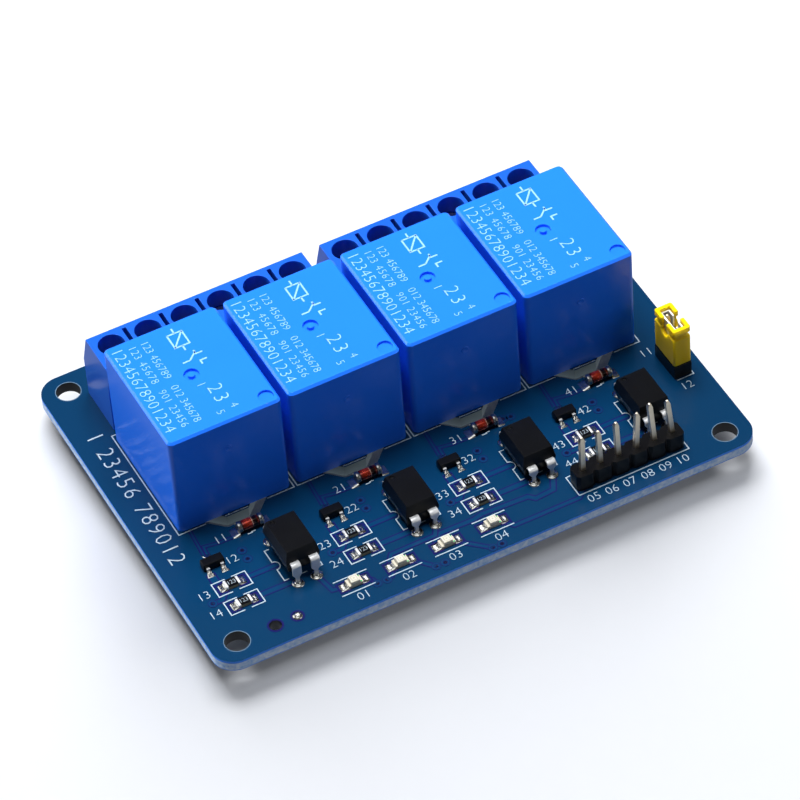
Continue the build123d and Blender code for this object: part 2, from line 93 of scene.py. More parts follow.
class Lit(Enum):
    """What a studio light falls on: the object's matt colour, its gloss, both, its metal or the floor."""

    OBJECT = "object"
    MATT = "matt"
    GLOSS = "gloss"
    METAL = "metal"
    FLOOR = "floor"


# Shared helpers


def linear(code: str) -> tuple[float, float, float, float]:
    """Turn an sRGB hex colour into linear RGBA."""
    parts = [int(code[i:i + 2], 16) / 255 for i in (1, 3, 5)]
    return (*[c / 12.92 if c <= 0.04045 else ((c + 0.055) / 1.055) ** 2.4 for c in parts], 1.0)


def add_node(tree: bpy.types.NodeTree, kind: str, inputs: Optional[dict] = None,
             **settings: object) -> bpy.types.Node:
    """Add one node with its settings and links.

    Args:
        tree: Node tree that takes the node.
        kind: Type name of the node.
        inputs: For each input, by name or index, a node, an output socket, a hex colour or a value.
        settings: Properties of the node.

    Returns:
        The new node.
    """
    node = tree.nodes.new(kind)
    for key, value in settings.items():
        setattr(node, key, value)
    for key, value in (inputs or {}).items():
        if isinstance(value, bpy.types.Node):
            value = next(socket for socket in value.outputs if socket.enabled)
        if isinstance(value, bpy.types.NodeSocket):
            tree.links.new(value, node.inputs[key])
        else:
            colour = isinstance(value, str) and value.startswith("#")
            node.inputs[key].default_value = linear(value) if colour else value
    return node


def add_object(name: str, data: bpy.types.ID) -> bpy.types.Object:
    """Add an object to the scene.

    Args:
        name: Its name.
        data: Its mesh, curve, light or camera.

    Returns:
        The new object.
    """
    made = bpy.data.objects.new(name, data)
    bpy.context.scene.collection.objects.link(made)
    return made


def baked(helper: bpy.types.Object) -> bpy.types.Mesh:
    """Turn a helper object and its modifiers into a plain mesh, and remove the helper.

    Args:
        helper: Object that carries the modifiers.

    Returns:
        The plain mesh.
    """
    made = bpy.data.meshes.new_from_object(helper.evaluated_get(bpy.context.evaluated_depsgraph_get()))
    bpy.data.objects.remove(helper)
    return made


def turned_frame(place: Sequence[float], x: float = 0.0, y: float = 0.0, z: float = 0.0) -> Matrix:
    """Frame at a place, turned by degrees about the axes."""
    turn = Euler([math.radians(angle) for angle in (x, y, z)])
    return Matrix.Translation(place) @ turn.to_matrix().to_4x4()


def rectangle(x: float, y: float, length: float, width: float) -> list[Point]:
    """Corners of a rectangle about a point, counter-clockwise from above."""
    return [(x + a * length / 2, y + b * width / 2) for a, b in ((-1, -1), (1, -1), (1, 1), (-1, 1))]


def node_box(node: str) -> tuple[Vector, Vector]:
    """Lowest and highest corner of a CAD node in millimetres."""
    low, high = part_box(node)
    return low / MM, high / MM


def node_middle(node: str) -> Vector:
    """Middle of a CAD node's box in millimetres."""
    low, high = node_box(node)
    return (low + high) / 2


def solids(node: str) -> list[list[Vector]]:
    """Corner points of the separate solids in one CAD node.

    Args:
        node: Name of the CAD node.

    Returns:
        Points of each solid in millimetres.
    """
    mesh = frame["nodes"][node].data
    spots = [tuple(round(c / MM, 3) for c in v.co) for v in mesh.vertices]
    parent = {spot: spot for spot in spots}

    def root(spot: tuple) -> tuple:
        """First point of the group that a point belongs to.

        Args:
            spot: Any point of the group.

        Returns:
            The point that stands for the group.
        """
        while parent[spot] != spot:
            parent[spot] = parent[parent[spot]]
            spot = parent[spot]
        return spot

    for face in mesh.polygons:
        for i in face.vertices:
            parent[root(spots[i])] = root(spots[face.vertices[0]])
    groups: dict[tuple, list[Vector]] = {}
    for spot in parent:
        groups.setdefault(root(spot), []).append(Vector(spot))
    return list(groups.values())


def box_of(points: Sequence[Vector]) -> tuple[Vector, Vector]:
    """Lowest and highest corner of a set of points."""
    return Vector(map(min, zip(*points))), Vector(map(max, zip(*points)))


def solid_boxes(node: str) -> list[tuple[Vector, Vector]]:
    """Boxes of the separate solids in one CAD node, from -X to +X, in millimetres."""
    return sorted(map(box_of, solids(node)), key=lambda b: (round(b[0].x, 2), b[0].y))

def solid_middles(node: str) -> list[Vector]:
    """Middles of the separate solids in one CAD node, from -X to +X, in millimetres."""
    return [(low + high) / 2 for low, high in solid_boxes(node)]


def tail_spots(node: str, depth: float = 0.5) -> list[Vector]:
    """Where the leads of a CAD node end under the board, from -X to +X.

    Args:
        node: Name of the CAD node.
        depth: Points lower than this many millimetres under the board belong to a tail.

    Returns:
        Middle of each tail's lowest end in millimetres.
    """
    tails = [box_of([p for p in solid if p.z < -depth]) for solid in solids(node)]
    spots = [Vector(((low.x + high.x) / 2, (low.y + high.y) / 2, low.z)) for low, high in tails]
    return sorted(spots, key=lambda p: (round(p.x, 2), p.y))


# Finishes

# Sockets that share a name are given by index: 0, 6 and 7 are the factor and the two colours of a mix, and 0 to 4
# are the value, the old limits and the new limits of a range

# Octaves of every noise
NOISE_DETAIL = 3.0
# Shares of the roughness at the glossiest and the dullest spots of a surface
GLOSS_SPREAD = (0.8, 1.2)
# How far red, green and blue light spread inside a resin, as shares of its depth
LIGHT_SPREAD = (1.0, 1.0, 0.8)


@dataclass(frozen=True)
class Finish:
    """A surface with a slow change of shade, a fine grain and a matching uneven gloss.

    Attributes:
        name: Real material and how its surface was made.
        colour: Main colour.
        shade: Colour that the slow mottle moves towards.
        roughness: Middle of the uneven gloss.
        metallic: Share that reflects as metal.
        ior: Index of refraction.
        coat: Weight of a clear layer on top.
        subsurface: Share of the light that spreads inside.
        depth_mm: How far that light spreads.
        mottle_mm: Size of the slow change of shade.
        grain_mm: Size of the fine grain.
        grain_height_mm: Height of the fine grain.
    """

    name: str
    colour: str
    shade: str
    roughness: float
    metallic: float = 0.0
    ior: float = 1.5
    coat: float = 0.0
    subsurface: float = 0.0
    depth_mm: float = 0.3
    mottle_mm: float = 6.0
    grain_mm: float = 0.25
    grain_height_mm: float = 0.004

    def inputs(self, tree: bpy.types.NodeTree, place: bpy.types.NodeSocket) -> dict[str, Value]:
        """Shader inputs of this surface.

        Args:
            tree: Node tree of the material.
            place: Object coordinates.

        Returns:
            Value, node or socket for each shader input.
        """
        add = partial(add_node, tree)
        grain, mottle = (
            add("ShaderNodeTexNoise", {"Vector": place, "Scale": 1 / (size * MM), "Detail": NOISE_DETAIL})
            for size in (self.grain_mm, self.mottle_mm)
        )
        smooth, dull = (self.roughness * share for share in GLOSS_SPREAD)
        return {
            "Base Color": add("ShaderNodeMix", {0: mottle, 6: self.colour, 7: self.shade}, data_type="RGBA"),
            "Roughness": add("ShaderNodeMapRange", {0: grain, 3: smooth, 4: dull}),
            "Normal": add("ShaderNodeBump", {"Height": grain, "Distance": self.grain_height_mm * MM}),
            "Metallic": self.metallic,
            "IOR": self.ior,
            "Coat Weight": self.coat,
            "Subsurface Weight": self.subsurface,
            "Subsurface Radius": LIGHT_SPREAD,
            "Subsurface Scale": self.depth_mm * MM,
        }

    def material(self) -> bpy.types.Material:
        """The Blender material, made on first use."""
        return made_material(self)


@lru_cache(maxsize=None)
def made_material(finish: Finish) -> bpy.types.Material:
    """Build the node tree of a finish once.

    Args:
        finish: The finish to build.

    Returns:
        Its material.
    """
    material = bpy.data.materials.new(finish.name)
    material.use_nodes = True
    tree = material.node_tree
    tree.nodes.clear()
    place = add_node(tree, "ShaderNodeTexCoord").outputs["Object"]
    shader = add_node(tree, "ShaderNodeBsdfPrincipled", finish.inputs(tree, place))
    add_node(tree, "ShaderNodeOutputMaterial", {"Surface": shader.outputs[0]})
    return material


@dataclass(frozen=True)
class MaskedLaminate(Finish):
    """Glass-epoxy board: glossy solder mask on both faces, bare routed edges with a line of mask brightened by a
    painted highlight, and hole and slot walls darkened by painted shade.

    Attributes:
        thickness_mm: Board thickness.
        line_mm: Height of the mask line along the upper and the lower edge.
        line: Colour of that line, the mask's blue brightened by a painted highlight where its rounded edge catches
            light from above.
        edge: Colour of the routed outer edge.
        fibre: Colour of the glass bundles in that edge.
        fibre_mm: Size of the bundles.
        bundle_range: Noise levels between which a bundle fades into the edge.
        slot: Colour of the walls of holes and slots, darker than the routed outer edge as painted shade inside them.
        bore: Colour of the walls of the corner holes, near black as a painted shadow inside them.
        wall_roughness: Roughness that a bare wall adds.
        core_mm: Half sizes of the middle that the outer edge is measured from, the last beyond any height.
        edge_mm: Distance from there past which a wall is the outer edge.
        bore_mm: Place of a corner hole and a radius that takes it in.
    """

    thickness_mm: float = 1.6
    line_mm: Point = (0.36, 0.1)
    # The mask line's bright blue is partly its own colour and partly a painted highlight of its rounded edge
    line: str = "#2a80f0"
    edge: str = "#d2dcea"
    fibre: str = "#7fabe0"
    fibre_mm: float = 0.5
    bundle_range: Point = (0.28, 0.72)
    # Painted shade: hole and slot walls darker than the outer edge, corner-hole walls near black
    slot: str = "#7f9094"
    bore: str = "#15161a"
    wall_roughness: float = 0.35
    core_mm: tuple[float, float, float] = (34.5, 24.3, 10.0)
    edge_mm: float = 2.6
    bore_mm: tuple[float, float, float] = (34.0, 24.25, 2.2)

    def inputs(self, tree: bpy.types.NodeTree, place: bpy.types.NodeSocket) -> dict[str, Value]:
        """Shader inputs, with mask on flat faces and laminate on walls.

        Args:
            tree: Node tree of the material.
            place: Object coordinates.

        Returns:
            Value, node or socket for each shader input.
        """
        made = super().inputs(tree, place)
        add = partial(add_node, tree)
        # Walls: faces steeper than 60 degrees
        facing = add("ShaderNodeSeparateXYZ", {0: add("ShaderNodeTexCoord").outputs["Normal"]}).outputs["Z"]
        wall = add("ShaderNodeMath", {0: facing, 1: 0.0, 2: 0.5}, operation="COMPARE")
        # Bare band between the two lines of mask
        low, high = self.line_mm[1], self.thickness_mm - self.line_mm[0]
        middle, half = (low + high) / 2 * MM, (high - low) / 2 * MM
        height = add("ShaderNodeSeparateXYZ", {0: place}).outputs["Z"]
        band = add("ShaderNodeMath", {0: height, 1: middle, 2: half}, operation="COMPARE")
        # Outer edge: beyond a rounded rectangle about the middle
        spot = add("ShaderNodeVectorMath", {0: place}, operation="ABSOLUTE")
        core = [c * MM for c in self.core_mm]
        reach = add("ShaderNodeVectorMath", {0: spot, 1: core}, operation="SUBTRACT")
        beyond = add("ShaderNodeVectorMath", {0: reach, 1: (0.0, 0.0, 0.0)}, operation="MAXIMUM")
        span = add("ShaderNodeVectorMath", {0: beyond}, operation="LENGTH")
        outside = add("ShaderNodeMath", {0: span, 1: self.edge_mm * MM}, operation="GREATER_THAN")
        # Corner holes: near their centres, where the walls get a painted shadow
        x, y, radius = self.bore_mm
        apart = add("ShaderNodeVectorMath", {0: spot, 1: (x * MM, y * MM, 0.0)}, operation="SUBTRACT")
        level = add("ShaderNodeVectorMath", {0: apart, 1: (1.0, 1.0, 0.0)}, operation="MULTIPLY")
        away = add("ShaderNodeVectorMath", {0: level}, operation="LENGTH")
        shaded_hole = add("ShaderNodeMath", {0: away, 1: radius * MM}, operation="LESS_THAN")
        cloud = add("ShaderNodeTexNoise", {"Vector": place, "Scale": 1 / (self.fibre_mm * MM), "Detail": NOISE_DETAIL})
        start, end = self.bundle_range
        bundles = add("ShaderNodeMapRange", {0: cloud, 1: start, 2: end})
        routed = add("ShaderNodeMix", {0: bundles, 6: self.edge, 7: self.fibre}, data_type="RGBA")
        # Mask lines along the edges, brightened by a painted highlight
        rim = add("ShaderNodeMix", {0: band, 6: self.line, 7: routed}, data_type="RGBA")
        # Inner walls take painted shade: the slot colour in slots and lead holes, near black in the corner holes
        inner = add("ShaderNodeMix", {0: shaded_hole, 6: self.slot, 7: self.bore}, data_type="RGBA")
        bare = add("ShaderNodeMix", {0: outside, 6: inner, 7: rim}, data_type="RGBA")
        made["Base Color"] = add("ShaderNodeMix", {0: wall, 6: made["Base Color"], 7: bare}, data_type="RGBA")
        dulled = {0: wall, 1: self.wall_roughness, 2: made["Roughness"]}
        made["Roughness"] = add("ShaderNodeMath", dulled, operation="MULTIPLY_ADD")
        return made


@dataclass(frozen=True)
class MaskedCopper(Finish):
    """Copper track under solder mask; the mask thins along the track's edge and shows it as a violet line.

    Attributes:
        rim: Colour along the edge.
        rim_mm: Width of that line.
        rim_fade: Shares of that width at which the line starts and ends to fade.
    """

    rim: str = "#14124a"
    rim_mm: float = 0.17
    rim_fade: Point = (0.6, 1.4)

    def inputs(self, tree: bpy.types.NodeTree, place: bpy.types.NodeSocket) -> dict[str, Value]:
        """Shader inputs, with the rim from the distance across the track kept in its UV map.

        Args:
            tree: Node tree of the material.
            place: Object coordinates.

        Returns:
            Value, node or socket for each shader input.
        """
        made = super().inputs(tree, place)
        add = partial(add_node, tree)
        across = add("ShaderNodeSeparateXYZ", {0: add("ShaderNodeUVMap", uv_map="across")}).outputs
        side = add("ShaderNodeMath", {0: across["X"]}, operation="ABSOLUTE")
        inset = add("ShaderNodeMath", {0: across["Y"], 1: side}, operation="SUBTRACT")
        start, end = (self.rim_mm * share for share in self.rim_fade)
        soft = add("ShaderNodeMapRange", {0: inset, 1: start, 2: end})
        made["Base Color"] = add("ShaderNodeMix", {0: soft, 6: self.rim, 7: made["Base Color"]}, data_type="RGBA")
        return made


@dataclass(frozen=True)
class BandedGlass(Finish):
    """Sealed glass diode: red glass over a copper slug, a pale joint ring and a black band at one end.

    Attributes:
        first_mm: X of the first diode's middle.
        pitch_mm: Spacing of the diodes.
        half_mm: Half of the glass length.
        stops: Colour along the glass, from its left end at 0 to its right end at 1.
    """

    first_mm: float = 0.0
    pitch_mm: float = 1.0
    half_mm: float = 1.15
    stops: tuple[tuple[float, str], ...] = (
        (0.0, "#120302"), (0.08, "#7a1c10"), (0.3, "#b4341c"), (0.56, "#982816"), (0.6, "#c8a490"),
        (0.64, "#40100a"), (0.72, "#0a0504"), (0.86, "#200807"), (0.92, "#6a180e"), (1.0, "#0c0403"),
    )

    def inputs(self, tree: bpy.types.NodeTree, place: bpy.types.NodeSocket) -> dict[str, Value]:
        """Shader inputs, with the bands along X on every diode of the row.

        Args:
            tree: Node tree of the material.
            place: Object coordinates.

        Returns:
            Value, node or socket for each shader input.
        """
        made = super().inputs(tree, place)
        add = partial(add_node, tree)
        along = add("ShaderNodeSeparateXYZ", {0: place}).outputs["X"]
        moved = add("ShaderNodeMath", {0: along, 1: self.first_mm * MM}, operation="SUBTRACT")
        half = self.pitch_mm * MM / 2
        local = add("ShaderNodeMath", {0: moved, 1: half, 2: -half}, operation="WRAP")
        share = add("ShaderNodeMapRange", {0: local, 1: -self.half_mm * MM, 2: self.half_mm * MM})
        ramp = add("ShaderNodeValToRGB", {0: share})
        elements = ramp.color_ramp.elements
        elements[0].position, elements[0].color = self.stops[0][0], linear(self.stops[0][1])
        elements[1].position, elements[1].color = self.stops[-1][0], linear(self.stops[-1][1])
        for position, colour in self.stops[1:-1]:
            elements.new(position).color = linear(colour)
        made["Base Color"] = ramp
        return made


@dataclass(frozen=True)
class GlazedCeramic(Finish):
    """Chip resistor: a pale ceramic block with a black glaze on its top.

    Attributes:
        glaze: Colour of the glaze.
        glaze_from_mm: Height above which the glaze lies.
    """

    glaze: str = "#0a0a0b"
    glaze_from_mm: float = 2.0

    def inputs(self, tree: bpy.types.NodeTree, place: bpy.types.NodeSocket) -> dict[str, Value]:
        """Shader inputs, glazed above a height.

        Args:
            tree: Node tree of the material.
            place: Object coordinates.

        Returns:
            Value, node or socket for each shader input.
        """
        made = super().inputs(tree, place)
        height = add_node(tree, "ShaderNodeSeparateXYZ", {0: place}).outputs["Z"]
        glazed = add_node(tree, "ShaderNodeMath", {0: height, 1: self.glaze_from_mm * MM}, operation="GREATER_THAN")
        made["Base Color"] = add_node(tree, "ShaderNodeMix", {0: glazed, 6: made["Base Color"], 7: self.glaze},
                                      data_type="RGBA")
        return made


@dataclass(frozen=True)
class LampResin(Finish):
    """Milky lamp lens: the square reflector and the chip under it show through as faint lines.

    Attributes:
        first_mm: Middle of the first lamp.
        pitch_mm: Spacing of the lamps along X.
        window_mm: Half size of the reflector square.
        line_mm: Half width of its line.
        chip_mm: Half size of the chip.
        inner: Colour of the lines.
        line_share: How much of that colour comes through.
    """

    first_mm: Point = (0.0, 0.0)
    pitch_mm: float = 1.0
    window_mm: float = 0.36
    line_mm: float = 0.04
    chip_mm: float = 0.1
    inner: str = "#6f6b60"
    line_share: float = 0.5

    def inputs(self, tree: bpy.types.NodeTree, place: bpy.types.NodeSocket) -> dict[str, Value]:
        """Shader inputs, with a square line and a dot on every lamp of the row.

        Args:
            tree: Node tree of the material.
            place: Object coordinates.

        Returns:
            Value, node or socket for each shader input.
        """
        made = super().inputs(tree, place)
        add = partial(add_node, tree)
        half = self.pitch_mm * MM / 2
        centre = (self.first_mm[0] * MM, self.first_mm[1] * MM, 0.0)
        moved = add("ShaderNodeVectorMath", {0: place, 1: centre}, operation="SUBTRACT")
        axis = add("ShaderNodeSeparateXYZ", {0: moved}).outputs
        local = add("ShaderNodeMath", {0: axis["X"], 1: half, 2: -half}, operation="WRAP")
        x = add("ShaderNodeMath", {0: local}, operation="ABSOLUTE")
        y = add("ShaderNodeMath", {0: axis["Y"]}, operation="ABSOLUTE")
        square = add("ShaderNodeMath", {0: x, 1: y}, operation="MAXIMUM")
        line = add("ShaderNodeMath", {0: square, 1: self.window_mm * MM, 2: self.line_mm * MM}, operation="COMPARE")
        chip = add("ShaderNodeMath", {0: square, 1: self.chip_mm * MM}, operation="LESS_THAN")
        drawn = add("ShaderNodeMath", {0: line, 1: chip}, operation="MAXIMUM")
        share = add("ShaderNodeMath", {0: drawn, 1: self.line_share}, operation="MULTIPLY")
        made["Base Color"] = add("ShaderNodeMix", {0: share, 6: made["Base Color"], 7: self.inner}, data_type="RGBA")
        return made


# A grain finer than about 0.1 mm wouldn't show at this distance, so none is drawn much finer

# Moulded PBT: saturated blue, even, a soft window-like gloss and an almost invisible mould grain
RELAY_PLASTIC = Finish("Moulded blue PBT relay case", "#1c6bee", "#1a67e6", 0.24, ior=1.4, mottle_mm=9.0,
                       grain_mm=0.3, grain_height_mm=0.0015)
# Moulded nylon: a deeper violet blue
TERMINAL_PLASTIC = Finish("Moulded blue nylon terminal", "#1a54b8", "#174bab", 0.2, ior=1.4, mottle_mm=7.0,
                          grain_mm=0.3, grain_height_mm=0.002)
# Moulded glass-filled nylon: near black with a dull sheen
HEADER_PLASTIC = Finish("Moulded black nylon header", "#08080a", "#0d0d0f", 0.36, ior=1.35, grain_mm=0.18)
# Moulded PBT: warm yellow, with light that spreads inside its thin walls
CAP_PLASTIC = Finish("Moulded yellow PBT cap", "#f4c60e", "#ecba0a", 0.34, ior=1.4, subsurface=0.6, depth_mm=2.5,
                     mottle_mm=2.5, grain_mm=0.2, grain_height_mm=0.003)
# Transfer-moulded epoxy: near black, a soft sheen broken by a fine dusty grain
BLACK_RESIN = Finish("Transfer-moulded black epoxy", "#09090b", "#0d0e10", 0.3, ior=1.3, mottle_mm=3.0,
                     grain_mm=0.09, grain_height_mm=0.002)
# Tin plate on copper alloy: pale satin grey, partly matt because the plate is crystalline
TIN_PLATE = Finish("Tin-plated formed lead", "#f0f1f2", "#d6d9dc", 0.42, metallic=0.65, mottle_mm=0.9,
                   grain_mm=0.16, grain_height_mm=0.002)
# Reflowed solder: very bright and lumpy, mottled with darker patches
SOLDER = Finish("Reflowed tin solder", "#f2f2ee", "#8b8b85", 0.24, metallic=1.0, mottle_mm=0.3, grain_mm=0.3,
                grain_height_mm=0.012)
# Nickel-plated end cap: smooth and darker, so it mirrors its surroundings
CAP_NICKEL = Finish("Nickel-plated drawn cap", "#c4c4c0", "#a6a6a2", 0.28, metallic=1.0, mottle_mm=0.6,
                    grain_mm=0.12, grain_height_mm=0.001)
# Zinc-plated steel: cool silver, a little rough from turning
SCREW_STEEL = Finish("Zinc-plated turned steel", "#c9cbd0", "#a5a8b0", 0.28, metallic=1.0, mottle_mm=0.8,
                     grain_mm=0.12)
# Nickel-plated folded steel: darker silver, satin
CLAMP_STEEL = Finish("Nickel-plated folded steel", "#aaa9a4", "#8b8a86", 0.34, metallic=1.0, mottle_mm=1.2,
                     grain_mm=0.14)
# Thin gold flash over nickel: pale straw colour, satin from drawing
PIN_METAL = Finish("Gold-flashed drawn pin", "#fff5e2", "#eee2c8", 0.36, metallic=1.0, mottle_mm=0.7, grain_mm=0.1,
                   grain_height_mm=0.002)
# Screen-printed epoxy ink: matt white, greyed by the blue under its thin coat
BOARD_INK = Finish("Screen-printed white ink", "#9fadb8", "#93a2ae", 0.55, mottle_mm=0.5, grain_mm=0.12)
# Pad-printed ink on the relay tops: pale sky blue because it lets some of the case through
CASE_INK = Finish("Pad-printed pale ink", "#82ade6", "#77a3dd", 0.45, mottle_mm=0.4, grain_mm=0.1,
                  grain_height_mm=0.002)
# Moulded lamp base: warm off-white, softly matt
LAMP_BASE = Finish("Moulded white lamp base", "#b2aea0", "#a49e90", 0.45, mottle_mm=0.6, grain_mm=0.1,
                   grain_height_mm=0.003)
# Printed polarity mark on that base: flat clear green
LAMP_MARK = Finish("Printed green polarity mark", "#0c9a58", "#0a864c", 0.4, mottle_mm=0.3, grain_mm=0.08,
                   grain_height_mm=0.001)
# Mask filling a via's plated hole: dark blue with some gloss; the same colour lines the open spare hole as painted
# shade
VIA_FILL_AND_HOLE_SHADE = Finish("Via mask fill and painted hole shade", "#070b1c", "#0b1130", 0.3, mottle_mm=0.3, grain_mm=0.1)
# Drilled edge of the mask: a matt grey-blue line, paler than the board
BARE_LIP = Finish("Drilled laminate lip", "#5c7488", "#4a6076", 0.6, mottle_mm=0.5, grain_mm=0.1)
# Sheet of pale card under soft light
STUDIO_CARD = Finish("Matt pale card", "#e3e6ec", "#e1e4ea", 0.9, mottle_mm=60.0, grain_mm=1.5, grain_height_mm=0.01)


# Mesh tools

# Edges sharper than this many degrees stay crisp in the shading
CREASE_DEGREES = 50.0
# On a copied CAD mesh: corners this close are one, faces this flat are one, edges this sharp are rounded
MERGE_MM = 0.0005
FLAT_DEGREES = 1.0
EDGE_DEGREES = 28.0
# A surface counts as metal above this share
METAL_SHARE = 0.5
# Steps of a numeral's curves, and how much its strokes are thinned
NUMERAL_STEPS = 2
NUMERAL_THINNING = -0.02


def finished_piece(mesh: bpy.types.Mesh, name: str, finish: Finish, body: str,
                   replaces: Iterable[str] = ()) -> bpy.types.Object:
    """Dress a mesh in metres and hang it on a body of the frame.

    Args:
        mesh: Finished mesh, in place.
        name: Name of the piece.
        finish: Its surface.
        body: CAD body that it rides on.
        replaces: CAD nodes that it stands for.

    Returns:
        The new object.
    """
    mesh.materials.clear()
    mesh.materials.append(finish.material())
    mesh.shade_smooth()
    mesh.set_sharp_from_angle(angle=math.radians(CREASE_DEGREES))
    carrier = add_object("carrier", mesh)
    carrier.modifiers.new("flat faces stay flat", "WEIGHTED_NORMAL").keep_sharp = True
    flat = baked(carrier)
    flat.name = name
    piece = add_object(name, flat)
    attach(piece, body)
    if replaces:
        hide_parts(*replaces)
    return piece


def is_metal(piece: bpy.types.Object) -> bool:
    """Whether a piece's surface is mostly metal.

    Args:
        piece: Any object of the scene.

    Returns:
        True if its shader is more metal than not.
    """
    nodes = piece.active_material.node_tree.nodes if piece.active_material else ()
    shaders = [node for node in nodes if node.bl_idname == "ShaderNodeBsdfPrincipled"]
    return any(shader.inputs["Metallic"].default_value > METAL_SHARE for shader in shaders)


def dressed_node(node: str, finish: Finish) -> bpy.types.Object:
    """Give a CAD node that stays in view its finish.

    Args:
        node: Name of the CAD node.
        finish: Its surface.

    Returns:
        The node's object.
    """
    piece = frame["nodes"][node]
    piece.data.materials.clear()
    piece.data.materials.append(finish.material())
    return piece


def softened_mesh(node: str, width: float, segments: int = 2,
                  keep: Optional[Callable[[Vector], bool]] = None) -> bpy.types.Mesh:
    """Copy a CAD node's mesh with its sharp edges rounded.

    Args:
        node: Name of the CAD node.
        width: Width of the rounding in millimetres.
        segments: Faces across the rounding.
        keep: Test on a point in millimetres; faces with no point that passes are left out.

    Returns:
        A mesh in metres.
    """
    mesh = bpy.data.meshes.new(node)
    shape = bmesh.new()
    shape.from_mesh(frame["nodes"][node].data)
    bmesh.ops.remove_doubles(shape, verts=shape.verts, dist=MERGE_MM * MM)
    if keep:
        lost = [v for v in shape.verts if not keep(v.co / MM)]
        bmesh.ops.delete(shape, geom=lost, context="VERTS")
    bmesh.ops.dissolve_limit(shape, angle_limit=math.radians(FLAT_DEGREES), verts=shape.verts, edges=shape.edges)
    sharp = [e for e in shape.edges if e.is_manifold and e.calc_face_angle(0.0) > math.radians(EDGE_DEGREES)]
    bmesh.ops.bevel(shape, geom=sharp, offset=width * MM, segments=segments, profile=0.5,
                    affect="EDGES", clamp_overlap=True)
    shape.to_mesh(mesh)
    shape.free()
    return mesh


def softened_piece(node: str, name: str, finish: Finish, width: float,
                   segments: int = 2) -> bpy.types.Object:
    """Replace a CAD node by a copy with rounded edges.

    Args:
        node: CAD node to stand for.
        name: Name of the new piece.
        finish: Its surface.
        width: Width of the rounding in millimetres.
        segments: Faces across the rounding.

    Returns:
        The new piece.
    """
    body = frame["nodes"][node]["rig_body"]
    return finished_piece(softened_mesh(node, width, segments), name, finish, body, [node])


def numeral_mesh(text: str, spacing: float) -> bpy.types.Mesh:
    """Flat mesh of a row of numerals.

    Args:
        text: Numerals and spaces.
        spacing: Spacing of the characters, 1 for the usual one.

    Returns:
        The mesh, as high as the font makes it.
    """
    curve = bpy.data.curves.new("numerals", "FONT")
    curve.body, curve.space_character = text, spacing
    curve.resolution_u, curve.offset = NUMERAL_STEPS, NUMERAL_THINNING
    mesh = baked(add_object("numerals", curve))
    bpy.data.curves.remove(curve)
    return mesh


